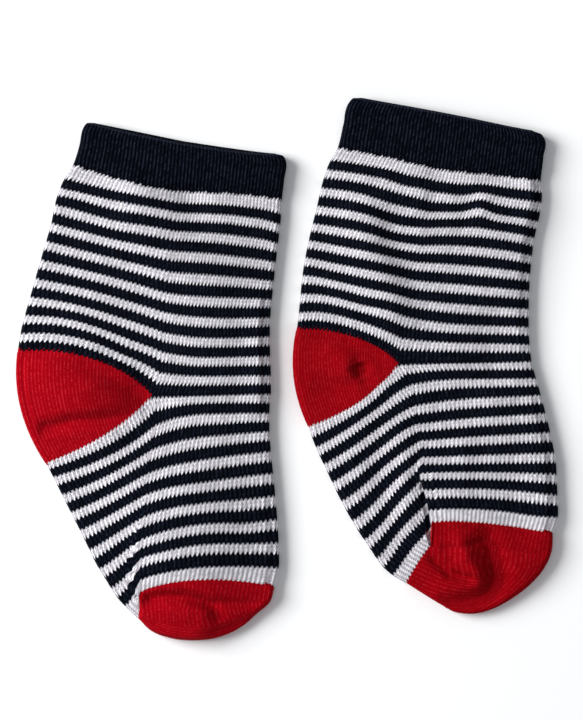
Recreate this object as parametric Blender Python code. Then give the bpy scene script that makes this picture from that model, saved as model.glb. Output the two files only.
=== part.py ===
"""A pair of striped baby socks, lying flat on their sides next to each other.

Each sock is four pieces of knitting: a doubled rib cuff, a striped tube for leg and foot,
a heel pocket and a toe pocket. Every piece is a closed wall of cloth, flattened so that its
two panels lie on each other. Lengths are in millimetres, and the frame's +Z is up.
"""
import math
from collections import namedtuple

import bmesh
import bpy
import numpy as np

MM = 0.001                     # one millimetre in metres
PAIR_CENTRE = (-0.45, 0.95)    # middle of the laid-out pair in the tables' own x and y
SEAM_GAP = 0.3                 # clearance between two pieces that are knitted together
STRIPE = 2.64                  # height of one stripe, the unit of the tables' level column

JERSEY_WALL = 1.4              # leg, foot, heel and toe cloth
CUFF_WALL = 1.9                # rib cloth, doubled at the rim
HOLLOW = 1.0                   # gap between the two panels beside the folds
LEAST_HOLLOW = 0.35            # gap that a trough leaves between the panels
JERSEY_CROWN = 1.1             # how far the upper panel rises away from the folds
CUFF_CROWN = 0.5
CROWN_RUN = 9.0                # distance from a fold at which the rise is complete
RISE_RUN = 4.0                 # distance from a fold at which creases have their full depth

LAP_GAP = 0.35                 # slit under the folded-over layer
LAP_LIFT = 1.3                 # height of the folded-over layer
LAP_RUN = 17.0                 # distance over which that height dies away
LAP_OVER = 0.45                # lap value at which the step starts to hang over
LAP_FLAT = (-1.5, -0.9, -0.3, 0.3, 0.9, 1.5)      # knee columns of a flat course
LAP_FOLD = (-0.4, 1.9, 1.9, 0.0, -0.45, 0.6)      # knee columns of a folded course
LAP_SHARE = (0.0, 0.5, 0.5, 1.0, 1.0, 1.0)        # their part of the shift between the layers
LAP_RISE = (0.0, 0.0, LAP_GAP, LAP_GAP, LAP_GAP + 0.5 * LAP_LIFT, LAP_GAP + LAP_LIFT)

FOLD_ANGLES = (90.0, 45.0, 0.0, -45.0, -90.0)     # stations round a folded edge
KNEE_COLUMNS = len(LAP_FLAT)
KNEE_EDGE = 2.5                # where the even columns stop short of the knee
KNEE_ROOM = (1.9, 6.0)         # the knee columns close up where a half panel is shorter
BACK_COLUMNS = 6               # upper panel, between the back fold and the knee
FRONT_COLUMNS = 8              # upper panel, between the knee and the front fold
UPPER_ONLY = (BACK_COLUMNS + 1, BACK_COLUMNS + 2, BACK_COLUMNS + 4)    # not in the lower one
HEADING_STEP = 0.01            # share of a panel over which its heading is taken
HEEL_ROWS = 6
HEEL_TIP = 1.6                 # how far the heel stops short of the corner
TOE_STATIONS = (0.0, 0.2, 0.4, 0.6, 0.78, 0.88, 0.95, 1.0)
TOE_LAP_RUN = 0.45             # part of the toe's upper panel in which the step dies away
TOE_CROWN_RUN = 0.5            # part of it, back from the tip, in which the panel rises

HEEL_LEVEL = 20.4              # the last leg course, where the heel is set in
TOE_LEVEL = 38.4               # the last striped course
CUFF_LEVELS = (-5.4, -4.7, -2.5, -SEAM_GAP / STRIPE)
LEG_LEVELS = (0.0, 1.4, 3.4, 5.4, 7.4, 9.4, 11.4, 13.4, 15.4, 17.4, 19.0, HEEL_LEVEL)
FOOT_LEVELS = (21.4, 23.4, 25.4, 27.4, 29.4, 31.0, 32.2, 33.4, 35.0, 36.6, TOE_LEVEL)

# One course of knitting: its level down the sock in stripes, the point and heading of the
# upper panel at the back fold, at the knee in its middle and at the front fold, and, where
# the cloth laps, the shift from the lower layer to the upper one and how full the lap is.
Course = namedtuple(
    "Course",
    "level back_x back_y back_deg knee_x knee_y knee_in knee_out "
    "front_x front_y front_deg lap_x lap_y lap",
    defaults=(0.0, 0.0, 0.0),
)
# A crease of the upper panel: its two ends, its half width, and its rise (a trough if < 0).
Crease = namedtuple("Crease", "x0 y0 x1 y1 width rise")
Sock = namedtuple("Sock", "name leg foot heel_bulge toe_outline creases")

LEFT_LEG = (
    Course(-5.4, -57.3, 71.3, -10, -29.9, 65.7, -11, -9, -1.9, 62.1, -4),
    Course(-4.7, -58.4, 69.7, -12, -30.0, 63.9, -11, -8, -0.9, 60.3, -5),
    Course(-2.5, -59.7, 64.3, -15, -30.4, 58.0, -9, -5, -1.3, 54.6, -8),
    Course(0.0, -61.6, 58.9, -20, -31.0, 51.3, -6, -1, -1.9, 48.9, -10),
    Course(1.4, -63.9, 55.1, -16, -31.3, 48.2, -8, 0, -2.1, 44.9, -14),
    Course(7.4, -68.4, 40.0, -15, -33.3, 31.6, -11, -3, -3.9, 28.6, -9),
    Course(13.4, -73.0, 24.1, -9, -35.6, 14.3, -20, -13, -5.3, 12.9, 3),
    Course(19.4, -77.0, 8.3, 6, -37.6, -3.4, -40, -4, -5.0, -3.7, 0),
    Course(HEEL_LEVEL, -77.3, 5.7, 5, -39.0, -7.1, -50, 0, -5.0, -6.3, 1),
)
LEFT_FOOT = (
    Course(HEEL_LEVEL, -69.3, -26.3, 20, -39.0, -7.1, 50, 0, -5.0, -6.3, 1),
    Course(21.4, -68.4, -28.0, 18, -38.4, -11.4, 46, 17, -5.3, -9.1, -1),
    Course(25.4, -63.6, -37.6, 20, -40.1, -25.7, 32, 24, -5.3, -19.7, 5),
    Course(29.4, -58.4, -47.7, 26, -41.3, -38.1, 32, 24, -4.1, -32.0, 5),
    Course(33.4, -52.7, -58.3, 28, -44.7, -52.9, 36, 26, -3.0, -45.1, 2, 2.3, 2.0, 0.3),
    Course(35.4, -49.0, -64.6, 40, -45.0, -60.6, 48, 26, -2.7, -52.0, -2, 2.3, 4.0, 0.45),
    Course(36.4, -47.0, -66.9, 40, -43.9, -63.1, 60, 25, -2.7, -55.7, -2, 1.2, 3.4, 0.45),
    Course(TOE_LEVEL, -43.6, -70.6, 60, -42.4, -67.1, 80, 26, -3.9, -61.7, -13, 0, 2.8, 0.4),
)
RIGHT_LEG = (
    Course(-5.4, 19.0, 78.7, -10, 45.3, 73.6, -11, -11, 71.3, 68.6, -9),
    Course(-4.7, 17.3, 76.6, -11, 45.0, 71.6, -11, -10, 72.9, 66.6, -9),
    Course(-2.5, 15.7, 70.3, -11, 44.1, 64.9, -12, -7, 72.7, 60.9, -8),
    Course(0.0, 14.0, 63.7, -11, 43.0, 57.6, -14, -5, 72.1, 54.4, -7),
    Course(1.4, 12.1, 60.3, -8, 42.1, 54.8, -13, -3, 72.4, 51.3, -10),
    Course(7.4, 7.6, 44.7, -5, 38.7, 38.7, -12, 2, 69.9, 35.7, -14),
    Course(13.4, 4.4, 29.7, -8, 35.3, 23.9, -13, -8, 68.7, 20.6, -4),
    Course(19.4, 2.7, 14.1, 6, 31.9, 6.7, -36, -4, 69.1, 5.4, -1),
    Course(HEEL_LEVEL, 2.4, 11.7, 4, 31.3, 2.0, -50, 2, 69.4, 3.0, 2),
)
RIGHT_FOOT = (
    Course(HEEL_LEVEL, 5.7, -16.0, 20, 31.3, 2.0, 58, 2, 69.4, 3.0, 2),
    Course(21.4, 6.7, -18.9, 25, 33.3, -0.8, 44, 10, 70.0, 0.6, 0),
    Course(25.4, 11.4, -28.7, 40, 35.9, -12.6, 28, 12, 72.7, -9.1, 5),
    Course(29.4, 16.7, -39.4, 46, 37.7, -22.4, 34, 5, 75.3, -20.0, 3, 0, 0.3, 0.1),
    Course(31.4, 20.0, -45.1, 44, 37.3, -28.3, 40, 2, 76.4, -26.0, 1, 0.4, 1.6, 0.5),
    Course(33.4, 23.6, -50.3, 49, 37.6, -35.3, 42, 3, 76.7, -32.1, -5, 0.4, 4.3, 1.0),
    Course(35.4, 27.4, -55.7, 56, 38.9, -42.1, 42, 4, 77.0, -38.1, -7, 0.6, 5.9, 1.0),
    Course(36.4, 29.9, -57.9, 56, 39.6, -45.6, 46, 4, 77.0, -41.3, -6, 0.6, 6.4, 0.9),
    Course(TOE_LEVEL, 33.6, -60.6, 62, 40.7, -49.7, 50, 6, 75.6, -46.3, -8, 0.1, 6.7, 0.45),
)
LEFT_TOE_OUTLINE = (
    (-39.6, -74.0), (-33.9, -76.3), (-27.6, -77.0), (-19.6, -76.0), (-13.9, -73.4),
    (-8.7, -69.1), (-5.3, -66.0),
)
RIGHT_TOE_OUTLINE = (
    (37.6, -63.1), (43.3, -66.6), (47.6, -68.9), (51.9, -69.4), (56.7, -68.6),
    (63.3, -65.4), (69.0, -61.1), (73.3, -56.0), (75.3, -51.1),
)
LEFT_CREASES = (
    Crease(-65.3, -11.7, -48.1, -11.4, 2.6, -0.6),    # gore line of the heel
    Crease(-52.4, -1.1, -42.0, -7.7, 4.5, -0.6),      # hollow before the heel's corner
    Crease(-41.0, -65.0, -18.5, -65.2, 1.6, -0.7),    # toe seam
    Crease(-36.0, -69.9, -16.0, -69.0, 5.0, 0.6),     # swell below the toe seam
    Crease(-21.0, -74.4, -9.0, -69.6, 1.4, -0.4),     # rim of the toe
    Crease(-36.0, 46.0, -35.0, 30.0, 6.0, -0.5),      # soft valley down the leg
)
RIGHT_CREASES = (
    Crease(17.6, 3.1, 21.0, -0.9, 3.2, -1.0),         # dimple of the heel
    Crease(57.6, 51.7, 54.1, 39.7, 3.4, 0.9),         # peak on the leg
    Crease(53.5, 50.3, 49.2, 38.0, 3.0, -0.6),        # trough beside the peak
    Crease(23.9, 51.7, 31.9, 37.4, 8.0, -0.7),        # broad dent of the leg
    Crease(42.5, -50.4, 66.0, -50.4, 1.4, -0.5),      # toe seam
    Crease(51.9, -49.5, 56.1, -52.6, 1.9, -0.6),      # hollow round the toe's curl
    Crease(56.1, -52.6, 58.1, -59.1, 1.9, -0.8),
    Crease(58.1, -59.1, 55.6, -64.0, 1.9, -0.8),
    Crease(55.6, -64.0, 48.4, -66.0, 1.8, -0.5),
    Crease(47.0, -56.0, 53.0, -58.3, 4.0, 1.0),       # the curl itself
)
SOCKS = (
    Sock("sock_left", LEFT_LEG, LEFT_FOOT, (-6.9, -0.6), LEFT_TOE_OUTLINE, LEFT_CREASES),
    Sock("sock_right", RIGHT_LEG, RIGHT_FOOT, (-5.4, -0.4), RIGHT_TOE_OUTLINE, RIGHT_CREASES),
)
FINISHES = {
    "cuff": ("navy_rib", (0.012, 0.016, 0.035, 1.0)),
    "body": ("striped_jersey", (0.62, 0.61, 0.66, 1.0)),
    "heel": ("red_jersey", (0.42, 0.002, 0.015, 1.0)),
    "toe": ("red_jersey", (0.42, 0.002, 0.015, 1.0)),
}
CLOTH_ROUGHNESS = 0.92


def smooth(value):
    """Ease from 0 to 1 as the value goes from 0 to 1."""
    value = min(max(value, 0.0), 1.0)
    return value * value * (3.0 - 2.0 * value)


def heading(degrees):
    return np.array((math.cos(math.radians(degrees)), math.sin(math.radians(degrees))))


def curve(start, start_deg, end, end_deg, t):
    """Point at t on the smooth curve between two points with the given headings."""
    span = np.linalg.norm(end - start)
    leave = heading(start_deg) * span
    arrive = heading(end_deg) * span
    return ((2 * t**3 - 3 * t**2 + 1) * start + (t**3 - 2 * t**2 + t) * leave
            + (3 * t**2 - 2 * t**3) * end + (t**3 - t**2) * arrive)


def between(rows, knots, at):
    """Smooth curve through the rows at their knots, read at one value."""
    rows = np.asarray(rows, float)
    knots = np.asarray(knots, float)
    steps = np.diff(knots)[:, None]
    slopes = np.diff(rows, axis=0) / steps
    tangents = np.vstack((slopes[:1], slopes[-1:]))
    inner = (slopes[:-1] * steps[1:] + slopes[1:] * steps[:-1]) / (steps[1:] + steps[:-1])
    tangents = np.vstack((tangents[:1], inner, tangents[1:]))
    i = int(np.clip(np.searchsorted(knots, at) - 1, 0, len(knots) - 2))
    step = steps[i, 0]
    t = (at - knots[i]) / step
    return ((2 * t**3 - 3 * t**2 + 1) * rows[i] + (t**3 - 2 * t**2 + t) * step * tangents[i]
            + (3 * t**2 - 2 * t**3) * rows[i + 1] + (t**3 - t**2) * step * tangents[i + 1])


def course_at(table, level):
    """The course at any level of a table."""
    values = between(table, [row.level for row in table], level)
    return Course(*values)._replace(lap=min(max(values[-1], 0.0), 1.0))


class Panels:
    """The upper panel of one course in plan, with its two folds and its knee."""

    def __init__(self, course):
        self.course = course
        self.back = np.array((course.back_x, course.back_y))
        self.low = np.array((course.knee_x, course.knee_y))
        self.high = self.low + (course.lap_x, course.lap_y)
        self.front = np.array((course.front_x, course.front_y))
        self.back_span = np.linalg.norm(self.low - self.back)
        self.front_span = np.linalg.norm(self.front - self.high)
        room = min(self.back_span, self.front_span) - KNEE_ROOM[0]
        self.squeeze = min(room / KNEE_ROOM[1], 1.0)

    def from_back(self, distance):
        c = self.course
        return curve(self.back, c.back_deg, self.low, c.knee_in, distance / self.back_span)

    def from_front(self, distance):
        c = self.course
        return curve(self.high, c.knee_out, self.front, c.front_deg,
                     1.0 - distance / self.front_span)

    def knee(self, column, folded):
        """Plan point of one of the six knee columns, folded or laid out flat."""
        over = smooth((self.course.lap - LAP_OVER) / (1.0 - LAP_OVER)) if folded else 0.0
        flat = LAP_FLAT[column] * self.squeeze
        along = flat + (LAP_FOLD[column] - flat) * over
        even = column / (KNEE_COLUMNS - 1)
        share = even + (LAP_SHARE[column] - even) * over
        turn = self.course.knee_in if column < KNEE_COLUMNS // 2 else self.course.knee_out
        across = heading(turn * (1.0 - self.course.lap))
        return self.low + (self.high - self.low) * share + across * along


class Cloth:
    """Heights of a piece: its wall, the gap between its panels, its crown and creases."""

    def __init__(self, wall, crown, creases):
        self.wall = wall
        self.crown = crown
        self.creases = creases
        self.radius = wall + 0.5 * HOLLOW

    def creased(self, point):
        total = 0.0
        for crease in self.creases:
            start = np.array((crease.x0, crease.y0))
            run = np.array((crease.x1, crease.y1)) - start
            along = float(np.clip((point - start) @ run / (run @ run), 0.0, 1.0))
            off = np.linalg.norm(point - start - run * along) / crease.width
            total += crease.rise * math.exp(-off * off)
        return total

    def top(self, point, distance):
        """Height of the upper panel at a distance from the nearest fold."""
        inward = distance - self.radius
        height = 2.0 * self.radius + self.crown * smooth(inward / CROWN_RUN)
        height += self.creased(point) * smooth(inward / RISE_RUN)
        return max(height, 2.0 * self.wall + LEAST_HOLLOW)

    def edge(self, angle, inner):
        """Distance from the fold and height at an angle round a folded edge."""
        radius = 0.5 * HOLLOW if inner else self.radius
        out = self.radius - radius * math.cos(math.radians(angle))
        return out, self.radius + radius * math.sin(math.radians(angle))


def inward_stations(first, last, count):
    """Evenly spaced distances from first to last, without the last one."""
    return [first + (last - first) * i / count for i in range(count)]


def upper_half(course, cloth):
    """Outer and inner points of the upper panel, from the top of the back fold to the front's."""
    panels = Panels(course)
    outer = []
    inner = []
    rise = course.lap * (LAP_GAP + LAP_LIFT)
    reach = panels.back_span - panels.squeeze * KNEE_EDGE
    for distance in inward_stations(cloth.radius, reach, BACK_COLUMNS):
        point = panels.from_back(distance)
        height = cloth.top(point, distance)
        outer.append((*point, height))
        inner.append((*point, height - cloth.wall))
    nearest = min(panels.back_span, panels.front_span)
    for column, lap_rise in enumerate(LAP_RISE):
        flat = panels.knee(column, False)
        height = cloth.top(flat, nearest)
        inner.append((*flat, height - cloth.wall))
        outer.append((*panels.knee(column, True), height + course.lap * lap_rise))
    reach = panels.front_span - panels.squeeze * KNEE_EDGE
    for distance in reversed(inward_stations(cloth.radius, reach, FRONT_COLUMNS)):
        point = panels.from_front(distance)
        height = cloth.top(point, distance)
        lapped = rise * (1.0 - smooth((panels.front_span - distance) / LAP_RUN))
        outer.append((*point, height + lapped))
        inner.append((*point, height - cloth.wall))
    return outer, inner


def lower_half(upper_inner, cloth):
    """Outer and inner points of the lower panel, under the upper panel's columns."""
    plan = [point[:2] for i, point in enumerate(upper_inner) if i not in UPPER_ONLY]
    plan.reverse()
    return [(*p, 0.0) for p in plan], [(*p, cloth.wall) for p in plan]


def ring(course, cloth):
    """One closed course: outer and inner points, over the top and back below."""
    panels = Panels(course)
    folds = {"outer": ([], []), "inner": ([], [])}
    for side, (front, back) in folds.items():
        for angle in FOLD_ANGLES[1:-1]:
            out, height = cloth.edge(angle, side == "inner")
            front.append((*panels.from_front(out), height))
            back.append((*panels.from_back(out), height))
        back.reverse()
    top_outer, top_inner = upper_half(course, cloth)
    low_outer, low_inner = lower_half(top_inner, cloth)
    outer = top_outer + folds["outer"][0] + low_outer + folds["outer"][1]
    inner = top_inner + folds["inner"][0] + low_inner + folds["inner"][1]
    return outer, inner


CORNER = BACK_COLUMNS + KNEE_COLUMNS // 2      # first knee column past the heel's corner
RING_TOP = BACK_COLUMNS + KNEE_COLUMNS + FRONT_COLUMNS
FOLD_SIDE = len(FOLD_ANGLES) - 2
SOLE_CORNER = RING_TOP + FOLD_SIDE + FRONT_COLUMNS + 1
RING_SIZE = 2 * (RING_TOP + FOLD_SIDE) - len(UPPER_ONLY)


class Wall:
    """A closed wall of cloth in the making: paired outer and inner points, and its faces."""

    def __init__(self):
        self.mesh = bmesh.new()

    def pairs(self, outer, inner):
        made = []
        for out_point, in_point in zip(outer, inner):
            made.append((self.vertex(out_point), self.vertex(in_point)))
        return made

    def vertex(self, point):
        x = (point[0] - PAIR_CENTRE[0]) * MM
        y = (point[1] - PAIR_CENTRE[1]) * MM
        return self.mesh.verts.new((x, y, point[2] * MM))

    def quad(self, a, b, c, d):
        self.mesh.faces.new((a, b, c, d))

    def skin(self, first, second, closed):
        """Outer and inner faces between two rows of pairs."""
        count = len(first)
        for i in range(count if closed else count - 1):
            j = (i + 1) % count
            self.quad(first[i][0], first[j][0], second[j][0], second[i][0])
            self.quad(first[i][1], second[i][1], second[j][1], first[j][1])

    def rim(self, row, closed):
        """Faces that close the wall along a row of pairs."""
        count = len(row)
        for i in range(count if closed else count - 1):
            j = (i + 1) % count
            self.quad(row[i][0], row[i][1], row[j][1], row[j][0])

    def finish(self, name, slot, collection):
        bmesh.ops.recalc_face_normals(self.mesh, faces=self.mesh.faces[:])
        data = bpy.data.meshes.new(name)
        self.mesh.to_mesh(data)
        self.mesh.free()
        data.shade_smooth()
        data.materials.append(cloth_material(name, slot))
        piece = bpy.data.objects.new(name, data)
        collection.objects.link(piece)


def cloth_material(name, slot):
    finish, colour = FINISHES[slot]
    material = bpy.data.materials.new(f"{finish}_{name}")
    material.use_nodes = True
    shader = material.node_tree.nodes["Principled BSDF"]
    shader.inputs["Base Color"].default_value = colour
    shader.inputs["Roughness"].default_value = CLOTH_ROUGHNESS
    shader.inputs["Metallic"].default_value = 0.0
    return material


def make_cuff(sock, collection):
    """The doubled rib at the top of the leg."""
    cloth = Cloth(CUFF_WALL, CUFF_CROWN, ())
    wall = Wall()
    rows = []
    for level in CUFF_LEVELS:
        rows.append(wall.pairs(*ring(course_at(sock.leg, level), cloth)))
    for first, second in zip(rows, rows[1:]):
        wall.skin(first, second, True)
    wall.rim(rows[0], True)
    wall.rim(rows[-1], True)
    wall.finish(f"{sock.name}_cuff", "cuff", collection)


def make_body(sock, collection):
    """The striped tube of leg and foot, with the opening that the heel fills."""
    cloth = Cloth(JERSEY_WALL, JERSEY_CROWN, sock.creases)
    wall = Wall()
    leg = []
    for level in LEG_LEVELS:
        leg.append(wall.pairs(*ring(course_at(sock.leg, level), cloth)))
    # The first foot course shares its front half with the last leg course.
    outer, inner = ring(course_at(sock.foot, HEEL_LEVEL), cloth)
    first_foot = list(leg[-1])
    split = list(range(SOLE_CORNER + 1, RING_SIZE)) + list(range(CORNER))
    for i in split:
        first_foot[i] = wall.pairs(outer[i:i + 1], inner[i:i + 1])[0]
    foot = [first_foot]
    for level in FOOT_LEVELS:
        foot.append(wall.pairs(*ring(course_at(sock.foot, level), cloth)))
    for first, second in list(zip(leg, leg[1:])) + list(zip(foot, foot[1:])):
        wall.skin(first, second, True)
    wall.rim(leg[0], True)
    wall.rim(foot[-1], True)
    around_heel = [SOLE_CORNER] + split + [CORNER]
    wall.rim([leg[-1][i] for i in around_heel], False)
    wall.rim([first_foot[i] for i in around_heel], False)
    wall.finish(f"{sock.name}_body", "body", collection)


def heel_plan(sock, share, v):
    """Plan point of the heel: share runs from the back fold to the corner, v from leg to foot."""
    ends = []
    for table, side in ((sock.leg, -1.0), (sock.foot, 1.0)):
        panels = Panels(course_at(table, HEEL_LEVEL))
        point = panels.from_back(share * panels.back_span)
        ahead = panels.from_back((share + HEADING_STEP) * panels.back_span) - point
        normal = np.array((-ahead[1], ahead[0])) / np.linalg.norm(ahead)
        ends.append(point + normal * side * SEAM_GAP)
    leg_side, foot_side = ends
    bulge = np.array(sock.heel_bulge) * (1.0 - share)
    bend = 0.5 * (leg_side + foot_side) + bulge
    return (1 - v) ** 2 * leg_side + 2 * v * (1 - v) * bend + v * v * foot_side


def make_heel(sock, collection):
    """The heel pocket, folded along the back of the sock."""
    cloth = Cloth(JERSEY_WALL, JERSEY_CROWN, sock.creases)
    wall = Wall()
    rows = []
    for step in range(HEEL_ROWS + 1):
        v = step / HEEL_ROWS
        span = np.linalg.norm(heel_plan(sock, 1.0, v) - heel_plan(sock, 0.0, v))
        stations = inward_stations(cloth.radius, span - KNEE_EDGE, BACK_COLUMNS)
        stations.append(span - HEEL_TIP)
        stations.reverse()
        outer = []
        inner = []
        for distance in stations:
            point = heel_plan(sock, distance / span, v)
            height = cloth.top(point, distance)
            outer.append((*point, height))
            inner.append((*point, height - cloth.wall))
        for angle in FOLD_ANGLES[1:-1]:
            for side, row in ((False, outer), (True, inner)):
                out, height = cloth.edge(angle, side)
                row.append((*heel_plan(sock, out / span, v), height))
        for distance in reversed(stations):
            point = heel_plan(sock, distance / span, v)
            outer.append((*point, 0.0))
            inner.append((*point, cloth.wall))
        rows.append(wall.pairs(outer, inner))
    for first, second in zip(rows, rows[1:]):
        wall.skin(first, second, False)
    wall.rim(rows[0], False)
    wall.rim(rows[-1], False)
    wall.rim([row[0] for row in rows], False)
    wall.rim([row[-1] for row in rows], False)
    wall.finish(f"{sock.name}_heel", "heel", collection)


def set_off(line, distance):
    """The same line moved sideways, to its right, by a constant distance."""
    line = np.array(line)
    runs = np.diff(line, axis=0)
    normals = np.column_stack((runs[:, 1], -runs[:, 0]))
    normals /= np.linalg.norm(normals, axis=1)[:, None]
    before = np.vstack((normals[:1], normals))
    after = np.vstack((normals, normals[-1:]))
    mitre = (before + after) / (1.0 + np.sum(before * after, axis=1))[:, None]
    return line + mitre * distance


def outline_points(line, shares):
    """Points at the given shares of the length of a smooth line."""
    steps = np.linalg.norm(np.diff(line, axis=0), axis=1)
    lengths = np.concatenate(([0.0], np.cumsum(steps)))
    return [between(line, lengths, share * lengths[-1]) for share in shares]


def make_toe(sock, collection):
    """The toe pocket: each column runs over the tip from the upper to the lower panel."""
    cloth = Cloth(JERSEY_WALL, JERSEY_CROWN, sock.creases)
    course = course_at(sock.foot, TOE_LEVEL)
    panels = Panels(course)
    outer, inner = upper_half(course, cloth)
    plan = [point[:2] for point in inner]
    border = set_off([panels.back] + plan + [panels.front], SEAM_GAP)
    steps = np.linalg.norm(np.diff(border[1:-1], axis=0), axis=1)
    shares = np.concatenate(([0.0], np.cumsum(steps))) / steps.sum()
    outline = np.vstack((border[:1], sock.toe_outline, border[-1:]))
    wall = Wall()
    columns = []
    for i, tip in enumerate(outline_points(outline, shares)):
        crown = inner[i][2] - cloth.radius - 0.5 * HOLLOW
        lap = outer[i][2] - inner[i][2] - cloth.wall
        columns.append(wall.pairs(*toe_column(cloth, border[i + 1], tip, crown, lap)))
    for first, second in zip(columns, columns[1:]):
        wall.skin(first, second, False)
    wall.rim(columns[0], False)
    wall.rim(columns[-1], False)
    wall.rim([column[0] for column in columns], False)
    wall.rim([column[-1] for column in columns], False)
    wall.finish(f"{sock.name}_toe", "toe", collection)


def toe_column(cloth, begin, tip, crown, lap):
    """Outer and inner points of one column, from the upper border over the tip to the lower."""
    sides = []
    for radius, lapped in ((cloth.radius, lap), (0.5 * HOLLOW, 0.0)):
        stations = half_column(begin, tip, cloth.radius, radius)
        column = []
        for station, (x, y, rise) in zip(TOE_STATIONS, stations):
            lift = crown * smooth((1.0 - station) / TOE_CROWN_RUN)
            lift += lapped * (1.0 - smooth(station / TOE_LAP_RUN))
            column.append((x, y, cloth.radius + rise + lift))
        for x, y, rise in stations[-2::-1]:
            column.append((x, y, cloth.radius - rise))
        sides.append(column)
    return sides


def half_column(begin, tip, fold, radius):
    """Plan points and heights above the fold's middle, from the border out to the tip."""
    run = tip - begin
    span = np.linalg.norm(run)
    flat = span - fold
    points = []
    for station in TOE_STATIONS:
        along = station * (flat + 0.5 * math.pi * radius)
        angle = max(along - flat, 0.0) / radius
        plan = begin + run / span * (min(along, flat) + radius * math.sin(angle))
        points.append((*plan, radius * math.cos(angle)))
    return points


def main():
    for old in list(bpy.data.objects):
        bpy.data.objects.remove(old)
    collection = bpy.data.collections.new("pair_of_socks")
    bpy.context.scene.collection.children.link(collection)
    for sock in SOCKS:
        make_cuff(sock, collection)
        make_body(sock, collection)
        make_heel(sock, collection)
        make_toe(sock, collection)


main()
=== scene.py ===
"""Looks of a pair of striped baby socks, lying flat next to each other.

Each sock is four knitted shells over its four solids: cuff, striped tube, heel and toe. A shell
is laid out in wales, the columns of stitches counted round the sock, and courses, the rows of
stitches counted down it. Lengths in the tables are millimetres in the tables' own x and y. Levels
are counted down the sock in stripes, from the cuff's lower edge.
"""
import math
from collections import namedtuple

import bpy
import numpy as np
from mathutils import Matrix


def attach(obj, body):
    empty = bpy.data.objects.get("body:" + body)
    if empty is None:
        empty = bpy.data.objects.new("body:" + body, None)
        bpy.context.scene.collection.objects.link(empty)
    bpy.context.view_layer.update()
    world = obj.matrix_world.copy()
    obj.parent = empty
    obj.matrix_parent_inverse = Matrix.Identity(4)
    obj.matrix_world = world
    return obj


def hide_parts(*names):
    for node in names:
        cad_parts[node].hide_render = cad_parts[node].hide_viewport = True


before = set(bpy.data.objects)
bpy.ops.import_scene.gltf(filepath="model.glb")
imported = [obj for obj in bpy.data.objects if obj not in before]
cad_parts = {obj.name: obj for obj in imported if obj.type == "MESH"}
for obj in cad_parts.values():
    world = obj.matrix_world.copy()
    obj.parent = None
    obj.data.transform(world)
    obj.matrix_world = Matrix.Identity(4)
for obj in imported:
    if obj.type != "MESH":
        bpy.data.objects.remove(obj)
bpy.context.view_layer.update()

# ---------------------------------------------------------------- the socks' own sizes
MM = 0.001
QUARTER = 0.5 * math.pi
PAIR_CENTRE = (-0.45, 0.95)    # middle of the laid-out pair in the tables' own x and y
STRIPE = 2.64                  # height of one stripe, the unit of the tables' level column
JERSEY_WALL = 1.4
CUFF_WALL = 1.9
HOLLOW = 1.0                   # gap between the two panels beside the folds
LEAST_HOLLOW = 0.35            # gap that a trough leaves between them
JERSEY_CROWN = 1.1             # how far the upper panel rises away from the folds
CUFF_CROWN = 0.5
CROWN_RUN = 18.0               # distance from a fold at which that rise is complete
RISE_RUN = 1.3                 # and at which the creases have their full depth
FOLD_POWER = 0.8               # below 1 the folds are squarer than round

LAP_GAP = 0.35                 # slit under the folded-over layer
LAP_LIFT = 1.3                 # height of that layer
LAP_RUN = 28.0                 # distance over which that height dies away
LAP_SPREAD = 2.6               # width over which the two layers pass into each other unfolded
LAP_BEFORE = 0.5               # how far before the knee the middle of that width lies
LAP_UNDER = 6.0                # distance from the knee over which the lower panel closes up
LAP_OVER = 0.45                # lap value at which the step starts to hang over
# Stations across a hanging lap: place in its columns, distance past the knee, part of the shift
# between the layers, and rise.
LAP_AT = (0.0, 0.12, 0.24, 0.36, 0.48, 0.6, 1.0)
LAP_FOLD = (-0.4, 1.9, 1.9, 0.0, -0.45, 0.15, 2.1)
LAP_SHARE = (0.0, 0.5, 0.5, 1.0, 1.0, 1.0, 1.0)
LAP_RISE = (0.0, 0.0, LAP_GAP, LAP_GAP, LAP_GAP + 0.5 * LAP_LIFT, LAP_GAP + 0.95 * LAP_LIFT,
            LAP_GAP + LAP_LIFT)
LAP_EDGE = LAP_AT[3]           # place at which the upper layer begins
LAP_FADE = 0.12                # part of the columns over which its stitches fade in

HEEL_LEVEL = 20.4              # the last leg course, where the heel is set in
TOE_LEVEL = 38.4               # the last striped course
CUFF_TOP = -5.4

# ---------------------------------------------------------------- the knitting
BACK_WALES = 30                # wales of a panel between the back fold and the knee
FRONT_WALES = 31               # and between the knee and the front fold
WALES = BACK_WALES + FRONT_WALES
FINE = 4                       # columns of the mesh to a wale, upper panel
PLAIN = 2                      # the same, lower panel
COURSES = 3                    # courses to a stripe
ROWS = 2                       # rows of the mesh to a course
ROW = 1.0 / (COURSES * ROWS)   # levels from one row of the mesh to the next
FIRST_NAVY = 1.4               # level of the first navy stripe below the cuff
FIRST_WHITE = FIRST_NAVY - 4 / COURSES    # level at which the white below the cuff starts
BODY_TOP = FIRST_WHITE - 1 / COURSES
LAST_NAVY = 36.55              # level at which the last navy stripe ends
NAVY_SHARE = 0.575             # part of a pair of stripes that is navy
SLANTS = (0.16, 0.04, -0.10, -0.15)    # shift of a wale's mesh columns down the sock, in levels
RIDGE = (-0.07, 0.0, 0.055, 0.02)      # their height over the middle surface
COURSE_RISE = 0.05
NOISE = {"body": 0.012, "heel": 0.01, "toe": 0.008}    # spread of the stitches' height
SEEDS = {"leg": 11, "foot": 12, "heel": 5, "toe": 9}
FULL_WALE = 0.9                # wale width under which its stitches fade
TUCK = 0.8                     # width of the line in which the sole's spare wales vanish
TUCK_EVEN = 0.3                # part of it that they share evenly
LEAST_SPARE = 0.01
SOLE_PITCH = 1.22              # wale pitch of the sole
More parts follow.
